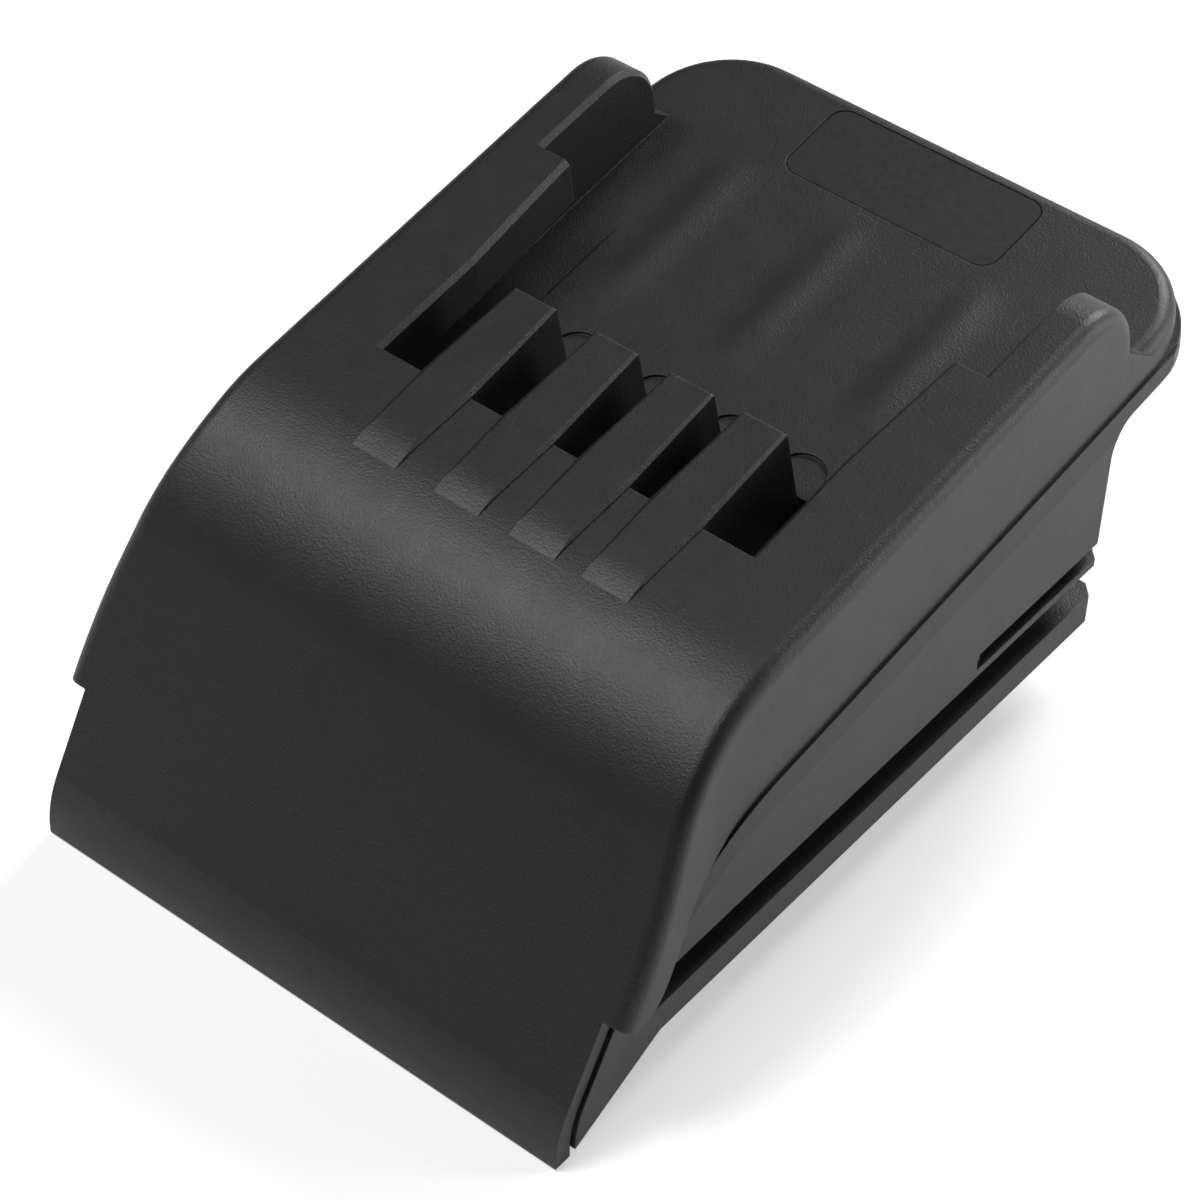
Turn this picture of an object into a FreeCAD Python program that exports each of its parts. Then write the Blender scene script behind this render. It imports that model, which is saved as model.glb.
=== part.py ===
import FreeCAD, Part
import Sketcher
import math
import os

# Charging dock for a slide-on tool battery.
# X runs across the dock, Y from the front lip to the rear ledge, Z up, all in millimetres.
# The origin lies on the plane the foot flanges rest on, below the front edge of the battery pocket.
# The battery deck slopes: it climbs towards the rear by deck_angle.

document = FreeCAD.newDocument("ChargingDock")
sheet = document.addObject("Spreadsheet::Sheet", "Sizes")

sizes = [
    # deck and overall outline
    ("deck_angle", 8.0),
    ("deck_height", 40.5),
    ("shell_width", 73.6),
    ("base_width", 75.2),
    ("wing_width", 80.4),
    ("lip_width", 74.4),
    ("rear_reach", 70.6),
    ("rear_corner", 12.5),
    ("seam_depth", 16.8),
    ("edge_round", 1.9),
    ("plan_margin", 15.0),
    # front apron and lip
    ("apron_angle", 58.5),
    ("notch_reach", 37.6),
    ("notch_height", 10.3),
    ("notch_shift", 0.9),
    ("notch_depth", 3.2),
    ("apron_wall", 2.0),
    ("deck_round", 27.0),
    ("lip_reach", 45.8),
    ("lip_drop", 7.5),
    ("lip_round", 14.0),
    ("flare_start", 20.0),
    ("flare_round", 45.0),
    ("flare_end", 32.0),
    ("flare_end_round", 30.0),
    # lower edge of the upper shell below the deck
    ("seam_bend_reach", 18.9),
    ("seam_bend_round", 33.0),
    ("seam_tip_drop", 2.1),
    ("seam_foot_reach", 32.5),
    ("seam_foot_rise", 0.4),
    ("seam_foot_round", 8.0),
    # side rails and battery channel
    ("rail_height", 12.8),
    ("rail_end", 54.0),
    ("rail_end_round", 8.0),
    ("rail_foot", 1.8),
    ("channel_width", 61.6),
    ("lip_gap", 51.2),
    ("lip_gap_rear", 53.5),
    ("lip_flare_start", 16.0),
    ("lip_end", 33.9),
    ("lip_thickness", 6.3),
    ("inner_edge_bevel", 0.6),
    # pocket and contact ribs
    ("pocket_length", 17.4),
    ("pocket_depth", 15.0),
    ("rib_rise", 0.55),
    ("rib_width", 7.0),
    ("rib_rear_width", 5.9),
    ("rib_front_width", 6.2),
    ("rib_length", 15.2),
    ("rib_nose", 12.2),
    ("rib_nose_bend", 9.6),
    ("rib_nose_round", 15.0),
    ("rib_draft", 2.0),
    ("rib_bevel", 0.35),
    ("rib_1_place", -16.0),
    ("rib_2_place", -4.45),
    ("rib_3_place", 6.0),
    ("rib_4_place", 15.85),
    ("slot_width", 1.6),
    ("slot_start", 5.0),
    ("slot_roof", 2.4),
    ("tail_slot_length", 4.0),
    # marks in the battery floor
    ("mark_radius", 3.0),
    ("mark_place", 20.2),
    ("mark_depth", 0.35),
    ("strip_edge", 24.25),
    ("strip_end", 39.2),
    ("strip_depth", 0.3),
    # label recess
    ("label_width", 30.0),
    ("label_start", 56.4),
    ("label_end", 68.6),
    ("label_round", 2.3),
    ("label_depth", 0.3),
    # hollows of the upper shell
    ("shell_wall", 2.4),
    ("floor_skin", 2.2),
    ("hollow_width", 64.0),
    ("front_hollow_start", 3.0),
    ("front_hollow_length", 9.0),
    ("front_hollow_knee", 13.0),
    ("front_hollow_foot", 7.5),
    ("front_hollow_drop", 7.0),
    ("rear_hollow_end", 66.0),
    # lower shell
    ("shelf_depth", 20.6),
    ("shelf_edge_bevel", 1.5),
    ("rear_wall_top", 52.7),
    ("rear_wall_foot", 51.2),
    ("shelf_inner_round", 3.0),
    ("chin_start", 29.0),
    ("floor_thickness", 2.5),
    ("facet_depth", 3.8),
    ("facet_bend", 3.3),
    ("facet_foot", 1.8),
    ("facet_tip", 1.0),
    ("facet_lean", 0.5),
    ("seam_gap", 0.4),
    ("seam_gap_depth", 0.9),
    ("groove_low", 4.0),
    ("groove_high", 8.7),
    ("groove_front", 29.9),
    ("groove_depth", 4.2),
    ("slit_low", 9.7),
    ("slit_step", 11.3),
    ("slit_high", 12.1),
    ("slit_front", 27.0),
    ("slit_depth", 3.0),
    ("slit_step_depth", 0.8),
    ("cavity_front", 26.0),
    ("rear_wall", 2.4),
    # screws and their posts
    ("case_screw_side", 27.5),
    ("case_screw_front", -13.0),
    ("case_screw_rear", 42.0),
    ("case_post_radius", 4.0),
    ("front_boss_top", 2.6),
    ("case_screw_length", 11.0),
    ("case_screw_grip", 2.6),
    ("screw_radius", 1.4),
    ("screw_head_radius", 2.6),
    ("screw_head_height", 1.9),
    ("screw_clearance", 0.15),
    ("pilot_room", 0.05),
    ("post_gap", 0.3),
    # circuit board
    ("board_gap", 2.4),
    ("board_thickness", 1.6),
    ("board_width", 44.0),
    ("board_front", -17.0),
    ("board_rear", 44.0),
    ("board_screw_side", 18.0),
    ("board_screw_place", 34.0),
    ("board_boss_radius", 3.0),
    ("small_screw_radius", 1.1),
    ("small_head_radius", 2.1),
    ("small_head_height", 1.5),
    ("small_screw_length", 4.6),
    # contact carrier and battery contacts
    ("carrier_width", 43.0),
    ("carrier_start", 2.0),
    ("carrier_end", 16.0),
    ("contact_thickness", 1.2),
    ("contact_clearance", 0.2),
    ("contact_reach", 14.2),
    ("contact_mouth", 1.0),
    ("contact_throat", 8.5),
    ("contact_tail", 24.0),
    ("contact_tail_width", 2.6),
    # output block and contacts
    ("output_width", 40.0),
    ("output_start", 22.0),
    ("output_height", 8.0),
    ("output_flange", 2.5),
    ("output_flange_thickness", 2.0),
    ("output_clearance", 0.25),
    ("output_slot_width", 4.4),
    ("output_slot_start", 30.0),
    ("output_slot_height", 6.4),
    ("output_pitch", 9.6),
    ("output_contact_thickness", 1.0),
    ("output_contact_length", 15.0),
    ("output_pin_width", 1.6),
    ("output_pin_top", 27.2),
    # parts on the board
    ("fuse_side", -15.0),
    ("fuse_place", -11.0),
    ("fuse_length", 7.0),
    ("fuse_width", 3.2),
    ("fuse_height", 3.0),
    ("resistor_length", 6.3),
    ("resistor_radius", 1.2),
    ("diode_length", 7.6),
    ("diode_radius", 2.2),
    ("capacitor_side", 12.0),
    ("capacitor_place", 15.5),
    ("capacitor_radius", 4.0),
    ("capacitor_height", 9.0),
    ("lead_radius", 0.35),
]
for number, (name, value) in enumerate(sizes, start=1):
    sheet.set("A%d" % number, name)
    sheet.set("B%d" % number, str(value))
    sheet.setAlias("B%d" % number, name)
document.recompute()


class Size:
    """A value together with the sheet expression that yields it."""

    def __init__(self, value, text):
        self.value = float(value)
        self.text = text

    def _with(self, other, sign, result):
        return Size(result, "(%s %s %s)" % (self.text, sign, other.text))

    def __add__(self, other):
        other = as_size(other)
        return self._with(other, "+", self.value + other.value)

    def __sub__(self, other):
        other = as_size(other)
        return self._with(other, "-", self.value - other.value)

    def __mul__(self, other):
        other = as_size(other)
        return self._with(other, "*", self.value * other.value)

    def __truediv__(self, other):
        other = as_size(other)
        return self._with(other, "/", self.value / other.value)

    def __radd__(self, other):
        return as_size(other) + self

    def __rsub__(self, other):
        return as_size(other) - self

    def __rmul__(self, other):
        return as_size(other) * self

    def __neg__(self):
        return as_size(0) - self


def as_size(value):
    return value if isinstance(value, Size) else Size(value, repr(float(value)))


def sine(angle):
    return Size(math.sin(math.radians(angle.value)), "sin(%s)" % angle.text)


def cosine(angle):
    return Size(math.cos(math.radians(angle.value)), "cos(%s)" % angle.text)


def tangent(angle):
    return Size(math.tan(math.radians(angle.value)), "tan(%s)" % angle.text)


def root(value):
    return Size(math.sqrt(value.value), "sqrt(%s)" % value.text)


class Sizes:
    """Gives every named cell of the sheet as a Size."""

    def __getattr__(self, name):
        return Size(sheet.get(name), "Sizes." + name)


d = Sizes()
deck_sine = sine(d.deck_angle)
deck_cosine = cosine(d.deck_angle)
deck_slope = tangent(d.deck_angle)
apron_slope = tangent(d.apron_angle)


def bind(thing, path, size):
    thing.setExpression(path, as_size(size).text)


def on_deck(along, height):
    """Side view point (y, z) from a distance along the deck and a height above it."""
    along = as_size(along)
    height = as_size(height)
    return (
        along * deck_cosine - height * deck_sine,
        d.deck_height + along * deck_sine + height * deck_cosine,
    )


def new_body(label):
    body = document.addObject("PartDesign::Body", label)
    body.Label = label
    return body


def new_sketch(body, label, plane, at=(0, 0, 0), tilted=False):
    """Sketch on one of the body's own planes, moved to `at` and tilted with the deck if asked."""
    sketch = body.newObject("Sketcher::SketchObject", label)
    origin_plane = [item for item in body.Origin.OriginFeatures if item.Role == plane][0]
    sketch.AttachmentSupport = [(origin_plane, "")]
    sketch.MapMode = "FlatFace"
    at = [as_size(value) for value in at]
    turn = d.deck_angle.value if tilted else 0
    sketch.AttachmentOffset = FreeCAD.Placement(
        FreeCAD.Vector(*[value.value for value in at]),
        FreeCAD.Rotation(FreeCAD.Vector(1, 0, 0), turn),
    )
    for axis, value in zip("xyz", at):
        if value.text != "0.0":
            bind(sketch, "AttachmentOffset.Base." + axis, value)
    if tilted:
        bind(sketch, "AttachmentOffset.Rotation.Angle", d.deck_angle)
    return sketch


def deck_sketch(body, label, height):
    """Sketch parallel to the deck: x across, y along the deck, `height` above the deck surface."""
    y, z = on_deck(0, height)
    return new_sketch(body, label, "XY_Plane", (0, y, z), tilted=True)


def fix_point(sketch, geometry, position, x, y):
    for kind, value in (("DistanceX", as_size(x)), ("DistanceY", as_size(y))):
        number = sketch.addConstraint(
            Sketcher.Constraint(kind, -1, 1, geometry, position, value.value))
        bind(sketch, "Constraints[%d]" % number, value)


def add_loop(sketch, corners):
    """Closed outline from corners (x, y) or (x, y, radius); every corner is tied to the sheet."""
    points = [FreeCAD.Vector(as_size(c[0]).value, as_size(c[1]).value, 0) for c in corners]
    radii = [as_size(c[2]) if len(c) > 2 else None for c in corners]
    count = len(points)
    starts = []
    ends = []
    for index in range(count):
        before = (points[index - 1] - points[index]).normalize()
        after = (points[(index + 1) % count] - points[index]).normalize()
        if radii[index] is None:
            starts.append(points[index])
            ends.append(points[index])
            continue
        reach = radii[index].value / math.tan(before.getAngle(after) / 2)
        ends.append(points[index] + before * reach)
        starts.append(points[index] + after * reach)
    lines = []
    for index in range(count):
        line = Part.LineSegment(starts[index], ends[(index + 1) % count])
        lines.append(sketch.addGeometry(line))
    for index in range(count):
        line_in = lines[index - 1]
        line_out = lines[index]
        if radii[index] is None:
            sketch.addConstraint(Sketcher.Constraint("Coincident", line_in, 2, line_out, 1))
            fix_point(sketch, line_out, 1, corners[index][0], corners[index][1])
            continue
        corner = points[index]
        middle_line = (ends[index] + starts[index]) * 0.5 - corner
        half = (ends[index] - starts[index]).Length / 2
        reach = (ends[index] - corner).Length
        distance = radii[index].value * reach / half
        centre = corner + middle_line.normalize() * distance
        to_middle = corner - centre
        bulge = centre + to_middle.normalize() * radii[index].value
        arc = Part.Arc(ends[index], bulge, starts[index]).toShape().Curve
        first = math.atan2(ends[index].y - centre.y, ends[index].x - centre.x)
        last = math.atan2(starts[index].y - centre.y, starts[index].x - centre.x)
        turn = (last - first) % (2 * math.pi)
        forward = turn < math.pi
        circle = Part.Circle(centre, FreeCAD.Vector(0, 0, 1), radii[index].value)
        if forward:
            number = sketch.addGeometry(Part.ArcOfCircle(circle, first, last))
        else:
            number = sketch.addGeometry(Part.ArcOfCircle(circle, last, first))
        arc_in, arc_out = (1, 2) if forward else (2, 1)
        sketch.addConstraint(Sketcher.Constraint("Tangent", line_in, 2, number, arc_in))
        sketch.addConstraint(Sketcher.Constraint("Tangent", line_out, 1, number, arc_out))
        radius = sketch.addConstraint(
            Sketcher.Constraint("Radius", number, radii[index].value))
        bind(sketch, "Constraints[%d]" % radius, radii[index])
        mark = sketch.addGeometry(Part.Point(corner), True)
        fix_point(sketch, mark, 1, corners[index][0], corners[index][1])
        sketch.addConstraint(Sketcher.Constraint("PointOnObject", mark, 1, line_in))
        sketch.addConstraint(Sketcher.Constraint("PointOnObject", mark, 1, line_out))


def add_box(sketch, left, right, low, high, radius=None):
    corners = [(left, low), (right, low), (right, high), (left, high)]
    if radius is not None:
        corners = [corner + (radius,) for corner in corners]
    add_loop(sketch, corners)


def add_circle(sketch, x, y, radius):
    x, y, radius = as_size(x), as_size(y), as_size(radius)
    centre = FreeCAD.Vector(x.value, y.value, 0)
    number = sketch.addGeometry(Part.Circle(centre, FreeCAD.Vector(0, 0, 1), radius.value))
    fix_point(sketch, number, 3, x, y)
    limit = sketch.addConstraint(Sketcher.Constraint("Radius", number, radius.value))
    bind(sketch, "Constraints[%d]" % limit, radius)


def finish(feature):
    """Works a feature out at once, so that a broken one is named where it stands."""
    document.recompute()
    if "Up-to-date" not in feature.State or feature.Shape.isNull():
        raise RuntimeError("broken feature: %s (%s)" % (feature.Label, feature.getStatusString()))
    return feature


def extrude(kind, sketch, length, both_sides=False, reverse=False, draft=None):
    """Pad or pocket of a sketch by a length; both_sides spreads the length evenly."""
    body = sketch.getParentGeoFeatureGroup()
    feature = body.newObject("PartDesign::" + kind, sketch.Label + "_" + kind.lower())
    feature.Profile = sketch
    sketch.Visibility = False
    if both_sides:
        feature.SideType = "Symmetric"
    feature.Reversed = reverse
    bind(feature, "Length", length)
    if draft is not None:
        bind(feature, "TaperAngle", draft)
    return finish(feature)


def find_edges(feature, test):
    names = []
    for number, edge in enumerate(feature.Shape.Edges, start=1):
        if test(edge):
            names.append("Edge%d" % number)
    return names


def soften(body, label, test, size, kind="Fillet"):
    """Rounds or bevels the edges of the body's tip that pass the test."""
    tip = body.Tip
    feature = body.newObject("PartDesign::" + kind, label)
    feature.Base = (tip, find_edges(tip, test))
    bind(feature, "Radius" if kind == "Fillet" else "Size", size)
    return finish(feature)


def deck_place(point):
    """Distance along the deck and height above it for a point of a finished shape."""
    y = point.y
    z = point.z - d.deck_height.value
    return (
        y * deck_cosine.value + z * deck_sine.value,
        -y * deck_sine.value + z * deck_cosine.value,
    )


half_shell = d.shell_width / 2
half_base = d.base_width / 2
half_wing = d.wing_width / 2
half_lip = d.lip_width / 2
half_channel = d.channel_width / 2
rib_places = [d.rib_1_place, d.rib_2_place, d.rib_3_place, d.rib_4_place]


# Side view of the apron and the seam, shared by both shells
def apron_y(z):
    """Where the flat part of the apron stands at height z."""
    return -d.notch_reach + (as_size(z) - d.notch_height) / apron_slope


deck_corner_y = (d.deck_height - d.notch_height - d.notch_reach * apron_slope) / (
    apron_slope - deck_slope)
deck_corner = (deck_corner_y, d.deck_height + deck_corner_y * deck_slope, d.deck_round)
lip_bend_z = d.notch_height - (d.lip_reach - d.notch_reach) * apron_slope
lip_bend = (-d.lip_reach, lip_bend_z, d.lip_round)
wall_run = d.apron_wall / sine(d.apron_angle)
lip_inner_y = -d.lip_reach + wall_run
lip_inner_bend = (lip_inner_y, lip_bend_z, d.lip_round - d.apron_wall)
seam_tip_z = d.notch_height - d.seam_tip_drop
seam_tip = (apron_y(seam_tip_z) + wall_run, seam_tip_z)
seam_foot = (-d.seam_foot_reach, seam_tip_z + d.seam_foot_rise, d.seam_foot_round)
seam_level = on_deck(0, -d.seam_depth)
seam_bend_y = -d.seam_bend_reach
seam_bend_z = seam_level[1] + (seam_bend_y - seam_level[0]) * deck_slope
seam_bend = (seam_bend_y, seam_bend_z, d.seam_bend_round)
seam_rear = on_deck(d.rear_reach, -d.seam_depth)


def seam_line(drop=0):
    """Corners of the seam from the lip to the rear, lowered by `drop`."""
    return [
        (seam_tip[0], seam_tip[1] - drop),
        (seam_foot[0], seam_foot[1] - drop, seam_foot[2]),
        (seam_bend[0], seam_bend[1] - drop, seam_bend[2]),
        (seam_rear[0], seam_rear[1] - drop),
    ]


def trim_to_plan(body, label, half_width, flared):
    """Cuts away all that lies outside the plan outline of a shell."""
    far = d.wing_width
    far_rear = d.rear_reach + d.plan_margin
    sketch = new_sketch(body, label, "XY_Plane", (0, 0, -d.lip_drop - 1))
    add_box(sketch, -far, far, -d.wing_width, far_rear + 5)
    right = [(half_width, far_rear)]
    if flared:
        right += [
            (half_width, -d.flare_start, d.flare_round),
            (half_wing, -d.flare_end, d.flare_end_round),
            (half_wing, -d.lip_reach - d.plan_margin),
        ]
    else:
        right += [(half_width, -d.lip_reach - d.plan_margin)]
    left = [(-c[0],) + tuple(c[1:]) for c in reversed(right)]
    add_loop(sketch, right + left)
    extrude("Pocket", sketch, d.deck_height * 2, reverse=True)
    corners = deck_sketch(body, label + "_corners", -d.deck_height)
    start = d.rear_reach - d.rear_corner - 1
    add_loop(corners, [
        (half_width, start),
        (half_width, d.rear_reach, d.rear_corner),
        (-half_width, d.rear_reach, d.rear_corner),
        (-half_width, start),
        (-far, start),
        (-far, far_rear),
        (far, far_rear),
        (far, start),
    ])
    extrude("Pocket", corners, d.deck_height * 2, reverse=True)


# Upper shell: side outline, then plan outline
top = new_body("top_housing")
outline = new_sketch(top, "top_outline", "YZ_Plane")
add_loop(outline, [
    on_deck(d.rear_reach, -d.rail_height),
    on_deck(d.rail_end + d.rail_foot, -d.rail_height),
    on_deck(d.rail_end, -d.rail_height + d.rail_foot),
    on_deck(d.rail_end, 0) + (d.rail_end_round,),
    deck_corner,
    lip_bend,
    (-d.lip_reach, -d.lip_drop),
    (lip_inner_y, -d.lip_drop),
    lip_inner_bend,
] + seam_line())
extrude("Pad", outline, d.wing_width + 4, both_sides=True)
trim_to_plan(top, "top_plan", half_shell, flared=True)

# Side notches: the lip is narrower than the wings above it
notch_y = -d.notch_reach - d.notch_shift * cosine(d.apron_angle)
notch_z = d.notch_height - d.notch_shift * sine(d.apron_angle)
notch_outer = (notch_y - sine(d.apron_angle), notch_z + cosine(d.apron_angle))
notch_inner = (
    notch_y + d.notch_depth * sine(d.apron_angle),
    notch_z - d.notch_depth * cosine(d.apron_angle),
)
far_front = -d.lip_reach - d.plan_margin
far_low = -d.lip_drop - d.plan_margin
for side, label in ((1, "right_notch"), (-1, "left_notch")):
    notch = new_sketch(top, label, "YZ_Plane", (0, 0, side * half_lip))
    add_loop(notch, [
        notch_outer,
        notch_inner,
        (notch_inner[0], far_low),
        (far_front, far_low),
        (far_front, notch_outer[1]),
    ])
    extrude("Pocket", notch, half_wing - half_lip + 2, reverse=(side == 1))

# Rounded outer edges of the shell: rails, deck, apron, ledge
side_edge = half_shell.value - 0.01


def is_outer_edge(edge):
    points = [edge.valueAt(edge.FirstParameter + (edge.LastParameter - edge.FirstParameter) * t)
              for t in (0.1, 0.5, 0.9)]
    outer = all(abs(p.x) > side_edge - d.rear_corner.value - 1 for p in points) or all(
        deck_place(p)[0] > d.rear_reach.value - 0.5 for p in points)
    if not outer:
        return False
    for p in points:
        along, height = deck_place(p)
        if along > d.rail_end.value + 1 and abs(height + d.rail_height.value) > 0.05:
            return False
        if abs(p.x) < side_edge and along < d.rear_reach.value - d.rear_corner.value - 1:
            return False
    middle = points[1]
    along, height = deck_place(middle)
    if abs(height + d.seam_depth.value) < 0.3:
        return False
    seam_z = seam_level[1].value + (middle.y - seam_level[0].value) * deck_slope.value
    if middle.y > seam_bend_y.value - 8 and middle.z < seam_z + 1:
        return False
    front = deck_corner[1].value - (deck_corner[0].value - middle.y) * apron_slope.value
    if middle.y < deck_corner_y.value - 2 and middle.z < front - 2.5:
        return False
    return middle.z > d.notch_height.value


soften(top, "outer_edges", is_outer_edge, d.edge_round)

# Battery channel between the rails, the gap between their lips, and the slots under the lips
channel = deck_sketch(top, "channel", 0)
add_box(channel, -half_channel, half_channel, d.lip_end, d.rear_reach + 5)
extrude("Pocket", channel, d.rail_height)

half_gap = d.lip_gap / 2
half_gap_rear = d.lip_gap_rear / 2
gap = deck_sketch(top, "lip_gap_outline", 1)
add_loop(gap, [
    (half_gap, 0),
    (half_gap, d.lip_flare_start),
    (half_gap_rear, d.lip_end + 1),
    (-half_gap_rear, d.lip_end + 1),
    (-half_gap, d.lip_flare_start),
    (-half_gap, 0),
])
extrude("Pocket", gap, d.rail_height + 1)

undercut = deck_sketch(top, "undercut", -d.lip_thickness)
add_box(undercut, -half_channel, half_channel, 0, d.lip_end + 1)
extrude("Pocket", undercut, d.rail_height - d.lip_thickness)

pocket = deck_sketch(top, "contact_pocket", -d.rail_height + 1)
add_box(pocket, -half_gap, half_gap, 0, d.pocket_length)
extrude("Pocket", pocket, d.pocket_depth - d.rail_height + 1)

# Rounded upper edges along the inside of the rails and lips
def is_inner_edge(edge):
    points = [edge.valueAt(edge.FirstParameter + (edge.LastParameter - edge.FirstParameter) * t)
              for t in (0.0, 0.5, 1.0)]
    places = [deck_place(point) for point in points]
    if any(abs(abs(p.x) - abs(points[0].x)) > 1.5 for p in points):
        return False
    if not half_gap.value - 0.1 < abs(points[1].x) < half_channel.value + 0.1:
        return False
    on_top = all(abs(height) < 0.02 for along, height in places)
    on_round = places[1][0] > d.rail_end.value - d.rail_end_round.value and places[1][1] > -5
    return (on_top or on_round) and places[1][0] > 1 and edge.Length > 6


soften(top, "inner_edges", is_inner_edge, d.inner_edge_bevel, kind="Chamfer")

# Shallow marks, strip and label recess in the floor
marks = deck_sketch(top, "round_marks", -d.rail_height + 1)
for place in rib_places:
    add_circle(marks, place, d.mark_place, d.mark_radius)
extrude("Pocket", marks, 1 + d.mark_depth)

strip = new_sketch(top, "floor_strip", "YZ_Plane", (0, 0, -half_channel))
add_loop(strip, [
    on_deck(d.pocket_length - 1, -d.rail_height - d.strip_depth),
    on_deck(d.strip_end, -d.rail_height),
    on_deck(d.strip_end, -d.rail_height + 1),
    on_deck(d.pocket_length - 1, -d.rail_height + 1),
])
extrude("Pocket", strip, half_channel - d.strip_edge, reverse=True)

label = deck_sketch(top, "label_recess", -d.rail_height + 1)
half_label = d.label_width / 2
add_box(label, -half_label, half_label, d.label_start, d.label_end, d.label_round)
extrude("Pocket", label, 1 + d.label_depth)

# Contact ribs: fingers that run from the rounded deck over the pocket
ribs = deck_sketch(top, "ribs", d.rib_rise)
for place in rib_places:
    add_loop(ribs, [
        (place + d.rib_rear_width / 2, d.rib_length),
        (place - d.rib_rear_width / 2, d.rib_length),
        (place - d.rib_width / 2, 0),
        (place - d.rib_front_width / 2, -d.rib_nose),
        (place + d.rib_front_width / 2, -d.rib_nose),
        (place + d.rib_width / 2, 0),
    ])
extrude("Pad", ribs, d.rib_rise + d.pocket_depth + 0.5, reverse=True, draft=d.rib_draft)



# Bevelled top edges of the ribs
def is_rib_edge(edge):
    points = [edge.valueAt(edge.FirstParameter), edge.valueAt(edge.LastParameter)]
    places = [deck_place(point) for point in points]
    return all(abs(height - d.rib_rise.value) < 0.01 for along, height in places)


soften(top, "rib_bevels", is_rib_edge, d.rib_bevel, kind="Chamfer")

# Rib noses sink into the rounding of the deck
deck_turn = (d.apron_angle - d.deck_angle) / 2
corner_along = -root(deck_corner_y * deck_corner_y + (
    deck_corner[1] - d.deck_height) * (deck_corner[1] - d.deck_height))
round_start = corner_along + d.deck_round * tangent(deck_turn)
nose_run = -d.rib_nose - round_start
nose_height = root(d.deck_round * d.deck_round - nose_run * nose_run) - d.deck_round + 0.03
nose = new_sketch(top, "rib_noses", "YZ_Plane")
add_loop(nose, [
    on_deck(-4, d.rib_rise),
    on_deck(-d.rib_nose_bend, d.rib_rise) + (d.rib_nose_round,),
    on_deck(-d.rib_nose, nose_height),
    on_deck(-d.rib_nose - 2, nose_height + 0.4),
    on_deck(-d.rib_nose - 2, 3),
    on_deck(-4, 3),
])
extrude("Pocket", nose, d.lip_gap, both_sides=True)

# Slots inside the ribs for the contacts, open at the rib ends, and passages for their tails
slots = deck_sketch(top, "contact_slots", -d.slot_roof)
half_slot = d.slot_width / 2
for place in rib_places:
    add_box(slots, place - half_slot, place + half_slot, d.slot_start, d.rib_length + 1)
extrude("Pocket", slots, d.pocket_depth - d.slot_roof)
tails = deck_sketch(top, "tail_passages", -d.pocket_depth + 1)
for place in rib_places:
    add_box(tails, place - half_slot, place + half_slot,
            d.slot_start, d.slot_start + d.tail_slot_length)
extrude("Pocket", tails, 4)

# Hollows: under the front of the deck and under the battery floor
hollow = new_sketch(top, "front_hollow", "YZ_Plane")
wall = d.shell_wall
wall_run_inner = wall / sine(d.apron_angle) + 0.3
hollow_knee_z = deck_corner[1] - d.front_hollow_knee
hollow_foot_z = d.notch_height + d.front_hollow_foot
add_loop(hollow, [
    on_deck(-d.front_hollow_start, -wall),
    on_deck(-d.front_hollow_start - d.front_hollow_length, -wall),
    (apron_y(hollow_knee_z) + wall_run_inner, hollow_knee_z),
    (apron_y(hollow_foot_z) + wall_run_inner, hollow_foot_z),
    (-d.cavity_front, hollow_foot_z - d.front_hollow_drop),
    on_deck(-d.front_hollow_start, -d.seam_depth - 4),
])
extrude("Pocket", hollow, d.hollow_width, both_sides=True)
rear_hollow = deck_sketch(top, "rear_hollow", -d.seam_depth - 1)
half_hollow = d.hollow_width / 2
add_box(rear_hollow, -half_hollow, half_hollow, d.pocket_length + 4, d.rear_hollow_end, 3)
hollow_depth = 1 + d.seam_depth - d.rail_height - d.floor_skin
extrude("Pocket", rear_hollow, hollow_depth, reverse=True)

# Screw bosses under the deck, under the floor and for the board
front_boss = deck_sketch(top, "front_bosses", -d.seam_depth + 0.3)
rear_boss = deck_sketch(top, "rear_bosses", -d.seam_depth)
board_boss = deck_sketch(top, "board_bosses", -d.seam_depth - d.board_gap)
skin_depth = d.rail_height + d.floor_skin


def deck_along(y, height):
    """Distance along the deck of the point at y that lies `height` above the deck."""
    return (as_size(y) + as_size(height) * deck_sine) / deck_cosine


front_along = deck_along(d.case_screw_front, -d.seam_depth)
rear_along = deck_along(d.case_screw_rear, -d.seam_depth)
for side in (1, -1):
    add_circle(front_boss, side * d.case_screw_side, front_along, d.case_post_radius)
    add_circle(rear_boss, side * d.case_screw_side, rear_along, d.case_post_radius)
    add_circle(board_boss, side * d.board_screw_side, d.board_screw_place,
               d.board_boss_radius)
extrude("Pad", front_boss, d.seam_depth - 0.3 - d.front_boss_top)
extrude("Pad", rear_boss, d.seam_depth - skin_depth + 0.5)
extrude("Pad", board_boss, d.seam_depth + d.board_gap - skin_depth + 0.5)
pilots = deck_sketch(top, "board_pilots", -d.seam_depth - d.board_gap - 1)
for side in (1, -1):
    add_circle(pilots, side * d.board_screw_side, d.board_screw_place,
               d.small_screw_radius + d.pilot_room)
extrude("Pocket", pilots, d.small_screw_length - d.board_thickness + 1.4, reverse=True)


post_drop = d.case_post_radius * deck_slope + d.post_gap
post_tops = {}
for label, y in (("front", d.case_screw_front), ("rear", d.case_screw_rear)):
    post_top = seam_level[1] + (y - seam_level[0]) * deck_slope - post_drop - (0.5 if label == "front" else 0)
    post_tops[label] = post_top
    case_pilots = new_sketch(top, label + "_pilots", "XY_Plane", (0, 0, post_top - 2))
    for side in (1, -1):
        add_circle(case_pilots, side * d.case_screw_side, y, d.screw_radius + 0.05)
    extrude("Pocket", case_pilots, d.case_screw_grip + post_drop + 2.3, reverse=True)


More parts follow.
